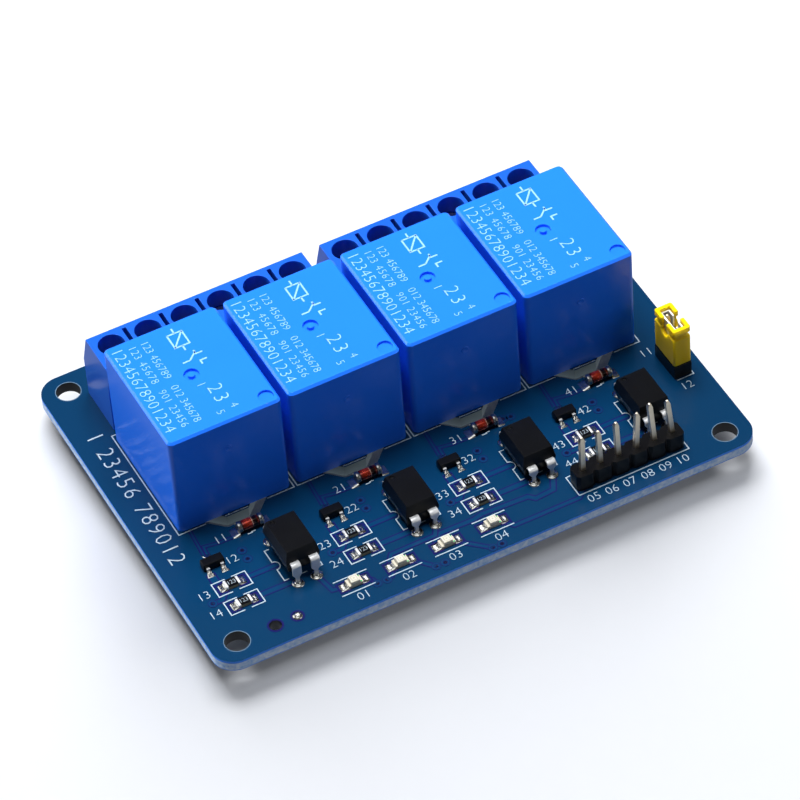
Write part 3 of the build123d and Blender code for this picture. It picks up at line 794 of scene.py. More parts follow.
@dataclass
class PieceBuilder:
    """Gathers shapes in millimetres and turns them into one mesh in metres."""

    shape: bmesh.types.BMesh = field(default_factory=bmesh.new)

    def __post_init__(self) -> None:
        """Add the UV map that keeps the distance across a ribbon."""
        self.across = self.shape.loops.layers.uv.new("across")

    def prism(self, outline: Sequence[Point], low: float, high: float) -> None:
        """Add a straight-sided solid.

        Args:
            outline: Corners, counter-clockwise from above.
            low: Height of its floor.
            high: Height of its roof.
        """
        floor = [self.shape.verts.new((x, y, low)) for x, y in outline]
        roof = [self.shape.verts.new((x, y, high)) for x, y in outline]
        self.shape.faces.new(roof)
        self.shape.faces.new(floor[::-1])
        for i in range(len(outline)):
            j = (i + 1) % len(outline)
            self.shape.faces.new((floor[i], floor[j], roof[j], roof[i]))

    def ribbon(self, route: Sequence[Point], width: float, low: float, high: float, closed: bool = False,
               spread: float = 1.0) -> None:
        """Add a flat strip along a route, with mitred corners.

        Args:
            route: Points of its centre line.
            width: Width of the strip.
            low: Height of its underside.
            high: Height of its top.
            closed: Whether the last point joins the first.
            spread: Stretch of the distance across that the UV map keeps; more makes a finer rim.
        """
        points = [Vector(p) for p in route]
        count = len(points)
        rows = []
        for i, point in enumerate(points):
            before = (point - points[i - 1]).normalized() if closed or i > 0 else None
            after = (points[(i + 1) % count] - point).normalized() if closed or i < count - 1 else None
            before, after = before or after, after or before
            side = Vector((-before.y - after.y, before.x + after.x)) * (width / 2 / (1 + before.dot(after)))
            right, left = point - side, point + side
            corners = ((right, low), (right, high), (left, high), (left, low))
            rows.append([self.shape.verts.new((*p, z)) for p, z in corners])
        for i in range(count if closed else count - 1):
            a, b = rows[i], rows[(i + 1) % count]
            for k in range(4):
                face = self.shape.faces.new((a[k], b[k], b[(k + 1) % 4], a[(k + 1) % 4]))
                sides = (-1, -1, 1, 1) if k == 1 else (1, 1, 1, 1)
                for loop, sign in zip(face.loops, sides):
                    loop[self.across].uv = (sign * spread * width / 2, spread * width / 2)
        if not closed:
            self.shape.faces.new(rows[0])
            self.shape.faces.new(rows[-1][::-1])

    def lathe(self, profile: Sequence[Point], place: Matrix, segments: int = 24) -> None:
        """Add a turned shape.

        Args:
            profile: Radius and height, from its lowest point up.
            place: Where its axis and zero height go.
            segments: Faces round the axis.
        """
        rings = []
        for radius, height in profile:
            turn = [0.0] if radius == 0 else [2 * math.pi * i / segments for i in range(segments)]
            spots = [Vector((radius * math.cos(a), radius * math.sin(a), height)) for a in turn]
            rings.append([self.shape.verts.new(place @ spot) for spot in spots])
        for lower, upper in zip(rings, rings[1:]):
            for i in range(segments):
                j = (i + 1) % segments
                corners = [lower[i % len(lower)], lower[j % len(lower)], upper[j % len(upper)], upper[i % len(upper)]]
                self.shape.faces.new(list(dict.fromkeys(corners)))
        for ring, order in ((rings[0], -1), (rings[-1], 1)):
            if len(ring) > 1:
                self.shape.faces.new(ring[::order])

    def rim(self, centre: Point, outer: float, inner: float, low: float, high: float, segments: int = 28,
            spread: float = 1.0) -> None:
        """Add a flat ring as a closed ribbon.

        Args:
            centre: Its middle.
            outer: Outer radius.
            inner: Inner radius.
            low: Height of its underside.
            high: Height of its top.
            segments: Straight steps round it.
            spread: As for a ribbon.
        """
        radius = (outer + inner) / 2
        turn = [2 * math.pi * i / segments for i in range(segments)]
        route = [(centre[0] + radius * math.cos(a), centre[1] + radius * math.sin(a)) for a in turn]
        self.ribbon(route, outer - inner, low, high, True, spread)

    def digits(self, text: str, height: float, place: Matrix, thickness: float, length: float = 0.0) -> None:
        """Add plain numerals, centred on their place.

        Args:
            text: Numerals and spaces.
            height: Height of a numeral.
            place: Frame whose X runs along the row and whose Z faces the reader.
            thickness: Height of the ink.
            length: Length to space the row out to, if not 0.
        """
        mesh = numeral_mesh(text, 1.0)
        low, high = box_of([v.co for v in mesh.vertices])
        scale = height / (high.y - low.y)
        if length:
            wide = box_of([v.co for v in numeral_mesh(text, 2.0).vertices])
            grown = wide[1].x - wide[0].x - (high.x - low.x)
            mesh = numeral_mesh(text, 1.0 + (length / scale - (high.x - low.x)) / grown)
            low, high = box_of([v.co for v in mesh.vertices])
        mesh.transform(Matrix.Diagonal((scale, scale, 1, 1)) @ Matrix.Translation(-(low + high) / 2))
        ink = bmesh.new()
        ink.from_mesh(mesh)
        flat, rim = ink.faces[:], [edge.verts[:] for edge in ink.edges if edge.is_boundary]
        roof = {vert: ink.verts.new(vert.co + Vector((0, 0, thickness))) for vert in ink.verts[:]}
        for face in flat:
            ink.faces.new([roof[vert] for vert in face.verts])
        for a, b in rim:
            ink.faces.new((a, b, roof[b], roof[a]))
        bmesh.ops.recalc_face_normals(ink, faces=ink.faces)
        bmesh.ops.transform(ink, matrix=place, verts=ink.verts)
        ink.to_mesh(mesh)
        ink.free()
        self.shape.from_mesh(mesh)
        bpy.data.meshes.remove(mesh)

    def mesh(self, name: str) -> bpy.types.Mesh:
        """The finished mesh in metres.

        Args:
            name: Name of the mesh.

        Returns:
            The mesh, after which nothing more can be added.
        """
        made = bpy.data.meshes.new(name)
        bmesh.ops.scale(self.shape, vec=(MM, MM, MM), verts=self.shape.verts)
        self.shape.to_mesh(made)
        self.shape.free()
        return made


@dataclass(frozen=True)
class Spot:
    """Place of one repeated shape in millimetres.

    Attributes:
        x, y, z: Its position.
        turn: Turn about Z in degrees.
        size: Scale along its own axes.
        flip: Whether it hangs upside down.
    """

    x: float
    y: float
    z: float
    turn: float = 0.0
    size: tuple[float, float, float] = (1.0, 1.0, 1.0)
    flip: bool = False


class RepeatTree:
    """Geometry Nodes tree that sets one shape on every point of a mesh."""

    def __init__(self, name: str) -> None:
        """Build the tree.

        Args:
            name: Name of the node group.
        """
        self.tree = bpy.data.node_groups.new(name, "GeometryNodeTree")
        add, face = partial(add_node, self.tree), self.tree.interface
        face.new_socket("Points", in_out="INPUT", socket_type="NodeSocketGeometry")
        self.shape = face.new_socket("Shape", in_out="INPUT", socket_type="NodeSocketObject")
        self.finish = face.new_socket("Finish", in_out="INPUT", socket_type="NodeSocketMaterial")
        face.new_socket("Pieces", in_out="OUTPUT", socket_type="NodeSocketGeometry")
        start = add("NodeGroupInput").outputs
        shape = add("GeometryNodeObjectInfo", {"Object": start["Shape"]}).outputs["Geometry"]
        turn, size = (
            add("GeometryNodeInputNamedAttribute", {"Name": kept}, data_type="FLOAT_VECTOR").outputs[0]
            for kept in ("turn", "size")
        )
        placed = add("GeometryNodeInstanceOnPoints",
                     {"Points": start["Points"], "Instance": shape, "Rotation": turn, "Scale": size})
        real = add("GeometryNodeRealizeInstances", {"Geometry": placed})
        dressed = add("GeometryNodeSetMaterial", {"Geometry": real, "Material": start["Finish"]})
        add("NodeGroupOutput", {0: dressed})

    def mesh(self, unit: bpy.types.Mesh, spots: Sequence[Spot], finish: Finish) -> bpy.types.Mesh:
        """Repeat a shape.

        Args:
            unit: The shape in metres about the origin.
            spots: Where it goes.
            finish: Its surface.

        Returns:
            One plain mesh that holds every copy.
        """
        points = bpy.data.meshes.new("spots")
        points.from_pydata([(s.x * MM, s.y * MM, s.z * MM) for s in spots], [], [])
        turns = points.attributes.new("turn", "FLOAT_VECTOR", "POINT")
        sizes = points.attributes.new("size", "FLOAT_VECTOR", "POINT")
        for i, spot in enumerate(spots):
            turns.data[i].vector = (math.pi if spot.flip else 0.0, 0.0, math.radians(spot.turn))
            sizes.data[i].vector = spot.size
        carrier, shape = add_object("spots", points), add_object("unit", unit)
        modifier = carrier.modifiers.new("repeat", "NODES")
        modifier.node_group = self.tree
        modifier[self.shape.identifier] = shape
        modifier[self.finish.identifier] = finish.material()
        made = baked(carrier)
        bpy.data.objects.remove(shape)
        return made


class ThreadTree:
    """Geometry Nodes tree that winds a thread round a core and joins it to a screw head.

    Attributes:
        turn_steps: Steps in one turn of the thread.
        ridge_corners: Corners of the ridge's section.
        core_faces: Faces round the core.
    """

    turn_steps: int = 14
    ridge_corners: int = 4
    core_faces: int = 20

    def __init__(self) -> None:
        """Build the tree with its sizes as named inputs, in metres."""
        self.tree = bpy.data.node_groups.new("wound thread", "GeometryNodeTree")
        add, face = partial(add_node, self.tree), self.tree.interface
        face.new_socket("Head", in_out="INPUT", socket_type="NodeSocketGeometry")
        names = ("Core Radius", "Ridge", "Turns", "Length")
        self.sizes = {n: face.new_socket(n, in_out="INPUT", socket_type="NodeSocketFloat") for n in names}
        self.foot = face.new_socket("Foot", in_out="INPUT", socket_type="NodeSocketVector")
        self.finish = face.new_socket("Finish", in_out="INPUT", socket_type="NodeSocketMaterial")
        face.new_socket("Screw", in_out="OUTPUT", socket_type="NodeSocketGeometry")
        start = add("NodeGroupInput").outputs
        radius, length = start["Core Radius"], start["Length"]
        wound = add("GeometryNodeCurveSpiral", {
            "Resolution": self.turn_steps, "Rotations": start["Turns"], "Start Radius": radius,
            "End Radius": radius, "Height": length})
        ridge = add("GeometryNodeCurvePrimitiveCircle", {"Resolution": self.ridge_corners, "Radius": start["Ridge"]})
        thread = add("GeometryNodeCurveToMesh", {"Curve": wound, "Profile Curve": ridge, "Fill Caps": True})
        core = add("GeometryNodeMeshCylinder", {"Vertices": self.core_faces, "Radius": radius, "Depth": length})
        half = add("ShaderNodeMath", {0: length, 1: 0.5}, operation="MULTIPLY")
        middle = add("ShaderNodeCombineXYZ", {"Z": half})
        raised = add("GeometryNodeTransform", {"Geometry": core, "Translation": middle})
        shank = add("GeometryNodeJoinGeometry", {0: thread})
        self.tree.links.new(raised.outputs[0], shank.inputs[0])
        placed = add("GeometryNodeTransform", {"Geometry": shank, "Translation": start["Foot"]})
        whole = add("GeometryNodeJoinGeometry", {0: placed})
        self.tree.links.new(start["Head"], whole.inputs[0])
        real = add("GeometryNodeRealizeInstances", {0: whole})
        dressed = add("GeometryNodeSetMaterial", {"Geometry": real, "Material": start["Finish"]})
        add("NodeGroupOutput", {0: dressed})

    def mesh(self, head: bpy.types.Mesh, sizes: dict[str, float], foot: Vector, finish: Finish) -> bpy.types.Mesh:
        """Join a head and a wound shank.

        Args:
            head: Screw head in metres, in place.
            sizes: Value in metres, or turns, for each named size.
            foot: Lowest point of the shank's axis in metres.
            finish: Surface of the screw.

        Returns:
            The whole screw as one plain mesh.
        """
        carrier = add_object("screw", head)
        modifier = carrier.modifiers.new("thread", "NODES")
        modifier.node_group = self.tree
        for name, value in sizes.items():
            modifier[self.sizes[name].identifier] = value
        modifier[self.foot.identifier] = foot
        modifier[self.finish.identifier] = finish.material()
        return baked(carrier)


@dataclass(frozen=True)
class SolderFillet:
    """Unit solder fillet: it climbs a part's end at x = 0 and runs out flat at x = 1.

    Attributes:
        flare: Width at the far end over the width at the part.
        steps: Faces along each side.
        climb: Share of the height that falls away from the part in a curve.
        crown: Share that stays up to the far end.
        lip: Share that is left at the far end.
        tuck: Share of the width lost at the far corners.
        shoulder: Share of the height lost along the sides.
        ripple: Height of the uneven surface.
        waves: Waves of that surface along and across, in radians.
        toe: Width of the foot over the width of the top.
    """

    flare: float
    steps: int = 8
    climb: float = 0.68
    crown: float = 0.24
    lip: float = 0.08
    tuck: float = 0.1
    shoulder: float = 0.6
    ripple: float = 0.12
    waves: Point = (9.0, 7.0)
    toe: float = 1.04

    def height(self, u: float, v: float) -> float:
        """Height of the top.

        Args:
            u: Place along the fillet, from 0 at the part to 1.
            v: Place across it, from -1 to 1.

        Returns:
            Share of the full height.
        """
        rise = self.climb * (1 - u) ** 3 + self.crown * (1 - u ** 8) + self.lip
        uneven = 1 + self.ripple * math.sin(self.waves[0] * u + self.waves[1] * v)
        return rise * (1 - self.shoulder * abs(v) ** 8) * uneven

    def mesh(self) -> bpy.types.Mesh:
        """Build the fillet.

        Returns:
            A mesh one millimetre long, wide and high.
        """
        made, shape, steps = bpy.data.meshes.new("solder_heap"), bmesh.new(), self.steps
        across = [-1 + 2 * j / steps for j in range(steps + 1)]
        top, floor = [], []
        for i in range(steps + 1):
            u = i / steps
            width = 0.5 * (1 + (self.flare - 1) * u) * (1 - self.tuck * u ** 10)
            top.append([shape.verts.new((u, width * v, self.height(u, v))) for v in across])
            floor.append([shape.verts.new((u, width * v * self.toe, 0)) for v in across])
        for i in range(steps):
            for j in range(steps):
                shape.faces.new((top[i][j], top[i + 1][j], top[i + 1][j + 1], top[i][j + 1]))
                shape.faces.new((floor[i][j], floor[i][j + 1], floor[i + 1][j + 1], floor[i + 1][j]))
            for j, order in ((0, 1), (steps, -1)):
                shape.faces.new((floor[i][j], floor[i + 1][j], top[i + 1][j], top[i][j])[::order])
        for i, order in ((0, -1), (steps, 1)):
            for j in range(steps):
                shape.faces.new((floor[i][j], floor[i][j + 1], top[i][j + 1], top[i][j])[::order])
        bmesh.ops.scale(shape, vec=(MM, MM, MM), verts=shape.verts)
        shape.to_mesh(made)
        shape.free()
        return made


def turned_unit(profile: Sequence[Point], segments: int = 20) -> bpy.types.Mesh:
    """A turned shape about the origin.

    Args:
        profile: Radii and heights in millimetres, from its lowest point up.
        segments: Faces round the axis.

    Returns:
        A mesh in metres.
    """
    builder = PieceBuilder()
    builder.lathe(profile, Matrix.Identity(4), segments)
    return builder.mesh("turned_unit")


REPEAT = RepeatTree("set on points")


def soldered_spots(unit: bpy.types.Mesh, spots: Sequence[Spot], name: str) -> bpy.types.Object:
    """Solder of one shape on many spots of the board."""
    return finished_piece(REPEAT.mesh(unit, spots, SOLDER), name, SOLDER, BOARD)


# Sub-assemblies


class Assembly:
    """A group of pieces that are built and dressed together."""

    def build(self) -> list[bpy.types.Object]:
        """Build and dress every piece of the group."""
        raise NotImplementedError


@dataclass
class CircuitBoard(Assembly):
    """Board with its tracks, vias, print and the solder under it.

    Lengths are millimetres; places inside a channel are from the channel's centre line.
    """

    track_height: float = 0.03
    # What keeps crossing tracks, pads and via rims off one plane
    track_step: float = 0.0004
    pad_step: float = 0.003
    via_step: float = 0.005
    pad_rim: float = 0.2
    # Pads of a resistor and of a lamp: reach from the part's middle, length and width
    resistor_pad: tuple[float, float, float] = (1.36, 1.2, 1.6)
    lamp_pad: tuple[float, float, float] = (1.5, 1.3, 1.6)
    ink_height: float = 0.02
    line_width: float = 0.13
    via_outer: float = 0.62
    via_inner: float = 0.24
    # Via: stretch of its rim's distance across, lap of its bore on the rim, then the dimple's share of the radius
    # and the heights from its rim to its floor
    via_spread: float = 2.2
    via_lap: float = 0.02
    via_dimple: float = 0.6
    via_heights: tuple[float, float, float] = (0.034, 0.024, 0.02)
    resistor_frame: Point = (4.57, 2.33)
    resistor_gap: float = 0.9
    numeral_height: float = 1.2
    title: str = "1 23456 789012"
    title_height: float = 2.2
    title_length: float = 24.5
    title_place: Point = (-34.5, 3.0)
    relay_frame_clear: float = 0.28
    slot_gap: float = 4.24
    tongue_half: float = 1.6
    header_frame_clear: Point = (0.17, 0.48)
    link_frame: tuple[Point, Point] = ((33.3, -13.5), (35.71, -7.92))
    # Print round a lamp: the lines' Y and half length, and how far in front its number stands
    lamp_lines: Point = (1.25, -1.27)
    lamp_line_half: float = 2.3
    lamp_number_drop: float = 2.3
    pin_number_drop: float = 2.85
    first_pin_number: int = 5
    first_link_number: int = 11
    link_numbers: tuple[Point, Point] = ((-2.0, 3.5), (-0.2, -4.1))
    # Stepped line in front of a diode
    diode_mark: tuple[Point, ...] = ((-0.55, -9.3), (0.1, -9.3), (0.1, -9.15), (0.6, -9.15))
    # Outline of an optocoupler: front left and back right corner, Y and radius of its notch, and the lines left
    # between its leads
    coupler_frame: tuple[Point, Point] = ((-0.05, -18.45), (5.13, -12.87))
    coupler_notch: Point = (-15.7, 0.7)
    notch_steps: int = 8
    coupler_back_stub: float = 0.65
    coupler_front_stubs: Point = (0.6, 0.5)
    coupler_bar: Point = (1.85, 3.1)
    bottom_track_width: float = 2.6
    # Bends of a track under the board: distance from the pole and length of the second one
    bottom_bend: Point = (2.6, 0.6)
    # Cone of solder on a tail: profile, radii on thick and on thin tails, and share of the tail that it covers
    cone: tuple[Point, ...] = (
        (1.0, 0.0), (0.97, 0.06), (0.8, 0.2), (0.58, 0.5), (0.44, 0.85), (0.36, 1.0), (0.0, 1.03))
    cone_radii: Point = (1.35, 0.85)
    cone_share: float = 0.72
    # Tracks of one channel, from pad to pad
    channel_tracks: tuple[tuple[float, tuple[Point, ...]], ...] = (
        (0.9, ((-4.4, -15.6), (0.6, -15.6))),
        (1.0, ((-4.4, -19.0), (0.4, -19.05), (1.23, -19.63))),
        (0.6, ((-1.9, -8.8), (-4.2, -8.75), (-6.2, -8.4), (-6.4, -10.2))),
        (0.55, ((-6.5, -5.2), (-6.8, -9.6))),
        (1.25, ((-7.45, -12.8), (-7.45, -15.2))),
        (0.9, ((-9.3, -17.34), (-8.0, -17.4), (-7.1, -16.3))),
    )
    # Tracks along the front that join the lamps to the couplers and the header
    front_tracks: tuple[tuple[float, tuple[Point, ...]], ...] = (
        (0.8, ((-20.85, -19.7), (-20.55, -21.4), (-20.3, -22.8), (-18.5, -23.15))),
        (0.8, ((-16.4, -22.9), (-15.3, -23.7), (-15.07, -24.6))),
        (0.7, ((-13.72, -24.67), (-13.0, -24.5), (-12.4, -23.6))),
        (0.8, ((-4.43, -19.7), (-5.3, -21.2), (-11.4, -21.2), (-12.1, -22.1), (-12.1, -23.0))),
        (0.8, ((-10.0, -23.1), (-9.1, -24.0), (-7.56, -25.77))),
        (0.8, ((-3.6, -23.1), (-2.6, -24.3), (-0.14, -26.6))),
        (0.9, ((11.97, -19.8), (10.9, -21.9), (8.3, -22.1), (7.6, -21.35), (1.3, -21.0), (0.0, -21.3), (-4.8, -21.2),
               (-5.7, -22.1), (-5.7, -23.0))),
        (0.8, ((2.8, -23.1), (3.9, -24.7), (13.0, -24.75), (14.6, -23.2))),
    )
    channel_vias: tuple[Point, ...] = ((-2.35, -11.34), (-2.35, -12.92), (-9.3, -17.34))
    front_vias: tuple[Point, ...] = (
        (-15.07, -24.6), (-13.72, -24.67), (-7.56, -25.77), (-6.31, -25.78), (-0.14, -26.6), (1.15, -26.6),
        (11.22, -8.16), (12.24, -8.3),
    )
    # Open and solder-filled spare hole, each with its radius
    spare_holes: tuple[tuple[Point, float], ...] = (((-28.85, -24.35), 0.8), ((-25.85, -24.35), 0.66))
    # Rim round a spare hole, from its radius, and wall of the open one
    spare_rim: Point = (0.26, 0.04)
    spare_wall: Point = (0.04, -0.03)
    # Solder bead: its root in the hole, then shares of the hole's radius and heights
    bead_root: Point = (0.42, -0.4)
    bead: tuple[Point, ...] = ((1.0, 0.0), (0.97, 0.08), (0.7, 0.2), (0.3, 0.26), (0.0, 0.27))
    # Place of a corner hole from the board's middle and its radius, then the bare lip round it
    corner_holes: tuple[Point, float] = ((34.0, 24.25), 1.6)
    lip_width: float = 0.09
    lip_height: float = 0.01
    # Places of the two-figure numbers beside the parts of one channel
    channel_numbers: tuple[Point, ...] = ((-3.8, -8.25), (-3.95, -12.0), (-9.6, -15.7), (-9.6, -19.1))

    def __post_init__(self) -> None:
        """Read the board and the channels from the frame."""
        low, high = node_box("circuit_board")
        self.top, self.thickness = high.z, high.z - low.z
        self.relays = [node_box(f"relay_case_{n}") for n in CHANNELS]
        self.channels = [(a.x + b.x) / 2 for a, b in self.relays]
        self.resistors = solid_middles("resistor_bodies")
        self.lamps = solid_middles("led_bases")
        self.pads = [(r, self.resistor_pad) for r in self.resistors] + [(lamp, self.lamp_pad) for lamp in self.lamps]
        self.header_pins = tail_spots("input_header_pins")
        # Glossy blue liquid mask over glass cloth: deep, clear, with a faint orange peel
        self.laminate = MaskedLaminate("Blue solder mask on glass epoxy", "#042c4c", "#032744", 0.22, mottle_mm=22.0,
                                       grain_mm=0.9, grain_height_mm=0.002, thickness_mm=self.thickness)
        self.copper = MaskedCopper("Copper track under blue mask", "#053052", "#042c4c", 0.2, mottle_mm=8.0,
                                   grain_mm=0.9, grain_height_mm=0.002)

    def build(self) -> list[bpy.types.Object]:
        """Build and dress every piece of the board.

        Returns:
            The pieces.
        """
        return [
            dressed_node("circuit_board", self.laminate),
            self.tracks(),
            self.vias(),
            self.printing(),
            self.spare_solder(),
            self.spare_hole_shade(),
            self.hole_lips(),
            self.underside_tracks(),
            self.underside_solder(),
        ]

    def tracks(self) -> bpy.types.Object:
        """Tracks, rims of the vias and outlines of the pads on the upper face.

        Returns:
            The piece.
        """
        builder = PieceBuilder()
        top = self.top + self.track_height
        routes = [(width, [(c + x, y) for x, y in route])
                  for c in self.channels for width, route in self.channel_tracks]
        for n, (width, route) in enumerate([*self.front_tracks, *routes]):
            builder.ribbon(route, width, self.top, top - n * self.track_step)
        for spot in self.via_places():
            builder.rim(spot, self.via_outer, self.via_inner, self.top, top + self.via_step, spread=self.via_spread)
        outer, inner = self.spare_rim
        for spot, radius in self.spare_holes:
            builder.rim(spot, radius + outer, radius + inner, self.top, top)
        for part, (reach, length, width) in self.pads:
            for x in (part.x - reach, part.x + reach):
                corners = rectangle(x, part.y, length, width)
                builder.ribbon(corners, self.pad_rim, self.top, top + self.pad_step, closed=True)
        return finished_piece(builder.mesh("tracks"), "upper_tracks", self.copper, BOARD)

    def via_places(self) -> list[Point]:
        """Centres of the vias on the upper face."""
        return [*self.front_vias, *[(c + x, y) for c in self.channels for x, y in self.channel_vias]]

    def vias(self) -> bpy.types.Object:
        """Dimpled bores of the vias.

        Returns:
            The piece.
        """
        radius, (rim, slope, floor) = self.via_inner + self.via_lap, self.via_heights
        unit = turned_unit([(radius, 0.0), (radius, rim), (self.via_inner * self.via_dimple, slope), (0, floor)],
                           segments=16)
        spots = [Spot(x, y, self.top) for x, y in self.via_places()]
        return finished_piece(REPEAT.mesh(unit, spots, VIA_FILL_AND_HOLE_SHADE), "via_bores", VIA_FILL_AND_HOLE_SHADE, BOARD)

    def printing(self) -> bpy.types.Object:
        """White outlines and plain numbers on the upper face.

        Returns:
            The piece.
        """
        builder = PieceBuilder()
        top = self.top + self.track_height + self.ink_height

        def line(*route: Point) -> None:
            """Add one printed line."""
            builder.ribbon(route, self.line_width, self.top, top)

        def number(text: str, x: float, y: float) -> None:
            """Add one printed number."""
            builder.digits(text, self.numeral_height, Matrix.Translation((x, y, self.top)), top - self.top)

        for chip in self.resistors:
            self.resistor_outline(line, chip)
        for n, (channel, (low, high)) in enumerate(zip(self.channels, self.relays), 1):
            self.relay_outline(line, channel, low, high)
            self.coupler_outline(line, channel)
            line(*((channel + x, y) for x, y in self.diode_mark))
            for k, (x, y) in enumerate(self.channel_numbers, 1):
                number(f"{n}{k}", channel + x, y)
        for n, lamp in enumerate(self.lamps, 1):
            for y in self.lamp_lines:
                line((lamp.x - self.lamp_line_half, lamp.y + y), (lamp.x + self.lamp_line_half, lamp.y + y))
            number(f"0{n}", lamp.x, lamp.y - self.lamp_number_drop)
        self.header_outline(line)
        (left, front), (right, back) = self.link_frame
        line((left, front), (right, front), (right, back), (left, back))
        for n, pin in enumerate(self.header_pins, self.first_pin_number):
            number(f"{n:02d}", pin.x, pin.y - self.pin_number_drop)
        link = node_middle("link_header_body")
        for n, (x, y) in enumerate(self.link_numbers, self.first_link_number):
            number(f"{n}", link.x + x, link.y + y)
        place = turned_frame((*self.title_place, self.top), z=-90)
        builder.digits(self.title, self.title_height, place, top - self.top, self.title_length)
        return finished_piece(builder.mesh("print"), "board_print", BOARD_INK, BOARD)

    def resistor_outline(self, line: Callable[..., None], chip: Vector) -> None:
        """Two brackets round a chip resistor.

        Args:
            line: Adds one printed line.
            chip: Middle of the resistor.
        """
        w, h = self.resistor_frame[0] / 2, self.resistor_frame[1] / 2
        for s in (-1, 1):
            near, far = chip.x + s * self.resistor_gap / 2, chip.x + s * w
            line((near, chip.y + h), (far, chip.y + h), (far, chip.y - h), (near, chip.y - h))

    def relay_outline(self, line: Callable[..., None], channel: float, low: Vector, high: Vector) -> None:
        """Outline of a relay, broken where the isolation slot crosses it.

        Args:
            line: Adds one printed line.
            channel: Centre line of the channel.
            low: Lowest corner of the relay.
            high: Highest corner of the relay.
        """
        c = self.relay_frame_clear
        front, back = low.y - c, high.y + c
        line((channel - self.slot_gap, front), (low.x - c, front), (low.x - c, back), (high.x + c, back),
             (high.x + c, front), (channel + self.slot_gap, front))
        line((channel - self.tongue_half, front), (channel + self.tongue_half, front))

    def coupler_outline(self, line: Callable[..., None], channel: float) -> None:
        """Outline of an optocoupler with the round notch that marks its first lead.

        Args:
            line: Adds one printed line.
            channel: Centre line of the channel.
        """
        (left, front), (right, back) = self.coupler_frame
        left, right = channel + left, channel + right
        (y, radius), (first, last) = self.coupler_notch, self.coupler_front_stubs
        turn = [math.pi * i / self.notch_steps for i in range(self.notch_steps + 1)]
        bend = [(left + radius * math.sin(a), y + radius * math.cos(a)) for a in turn]
        line((left + self.coupler_back_stub, back), (left, back), *bend, (left, front), (left + first, front))
        line(*((left + x, front) for x in self.coupler_bar))
        line((right - last, front), (right, front), (right, back), (right - self.coupler_back_stub, back))

    def header_outline(self, line: Callable[..., None]) -> None:
        """Rectangle round the input header.

        Args:
            line: Adds one printed line.
        """
        low, high = node_box("input_header_body")
        x, y = self.header_frame_clear
        line((low.x - x, low.y - y), (high.x + x, low.y - y), (high.x + x, high.y + y), (low.x - x, high.y + y),
             (low.x - x, low.y - y))

    def spare_solder(self) -> bpy.types.Object:
        """Bead of solder that fills one of the two spare holes.

        Returns:
            The piece.
        """
        builder = PieceBuilder()
        (x, y), radius = self.spare_holes[1]
        profile = [self.bead_root, *((radius * share, height) for share, height in self.bead)]
        builder.lathe(profile, Matrix.Translation((x, y, self.top)))
        return finished_piece(builder.mesh("spare"), "spare_hole_solder", SOLDER, BOARD)

    def spare_hole_shade(self) -> bpy.types.Object:
        """Dark lining of the open spare hole: painted shade in place of the shadow inside the plated hole.

        Returns:
            The piece.
        """
        builder = PieceBuilder()
        (spot, radius), (outer, inner) = self.spare_holes[0], self.spare_wall
        # The lining's near-black colour is painted shade, not the plating's own colour
        builder.rim(spot, radius + outer, radius + inner, 0.0, self.top + self.lip_height)
        return finished_piece(builder.mesh("bore"), "spare_hole_bore", VIA_FILL_AND_HOLE_SHADE, BOARD)

    def hole_lips(self) -> bpy.types.Object:
        """Thin bare lips round the corner holes, where the drill cut the mask.

        Returns:
            The piece.
        """
        builder = PieceBuilder()
        (x, y), radius = self.corner_holes
        for a in (-x, x):
            for b in (-y, y):
                builder.rim((a, b), radius + self.lip_width, radius, self.top, self.top + self.lip_height,
                            segments=40)
        return finished_piece(builder.mesh("lips"), "corner_hole_lips", BARE_LIP, BOARD)

    def underside_tracks(self) -> bpy.types.Object:
        """Wide tracks under the board from the relay contacts to the terminals.

        Returns:
            The piece.
        """
        builder = PieceBuilder()
        poles = tail_spots("terminal_contacts_left") + tail_spots("terminal_contacts_right")
        back, step = self.bottom_bend
        share = len(POLES) // len(CHANNELS)
        for n in CHANNELS:
            pins = sorted(tail_spots(f"relay_pins_{n}"), key=lambda p: (p.y, p.x))
            common, contacts = pins[0], sorted(pins[-2:], key=lambda p: p.x)
            for pin, pole in zip((contacts[0], common, contacts[1]), poles[share * (n - 1):share * n]):
                bend = pole.y - back
                slant = (pin.x, bend - abs(pole.x - pin.x) / 2), (pole.x, bend + step)
                builder.ribbon([(pin.x, pin.y), *slant, (pole.x, pole.y)], self.bottom_track_width,
                               -self.track_height, 0.0)
        return finished_piece(builder.mesh("underside"), "underside_tracks", self.copper, BOARD)

    def underside_solder(self) -> bpy.types.Object:
        """Cones of solder round every tail under the board.

        Returns:
            The piece.
        """
        nodes = [f"{part}_{n}" for part in ("relay_pins", "optocoupler_leads") for n in CHANNELS]
        nodes += ["terminal_contacts_left", "terminal_contacts_right", "input_header_pins", "link_header_pins"]
        thick, thin = self.cone_radii
        spots = []
        for node in nodes:
            radius = thick if node.startswith(("relay", "terminal")) else thin
            for tail in tail_spots(node):
                spots.append(Spot(tail.x, tail.y, 0.0, size=(radius, radius, -self.cone_share * tail.z), flip=True))
        return soldered_spots(turned_unit(self.cone), spots, "underside_solder")


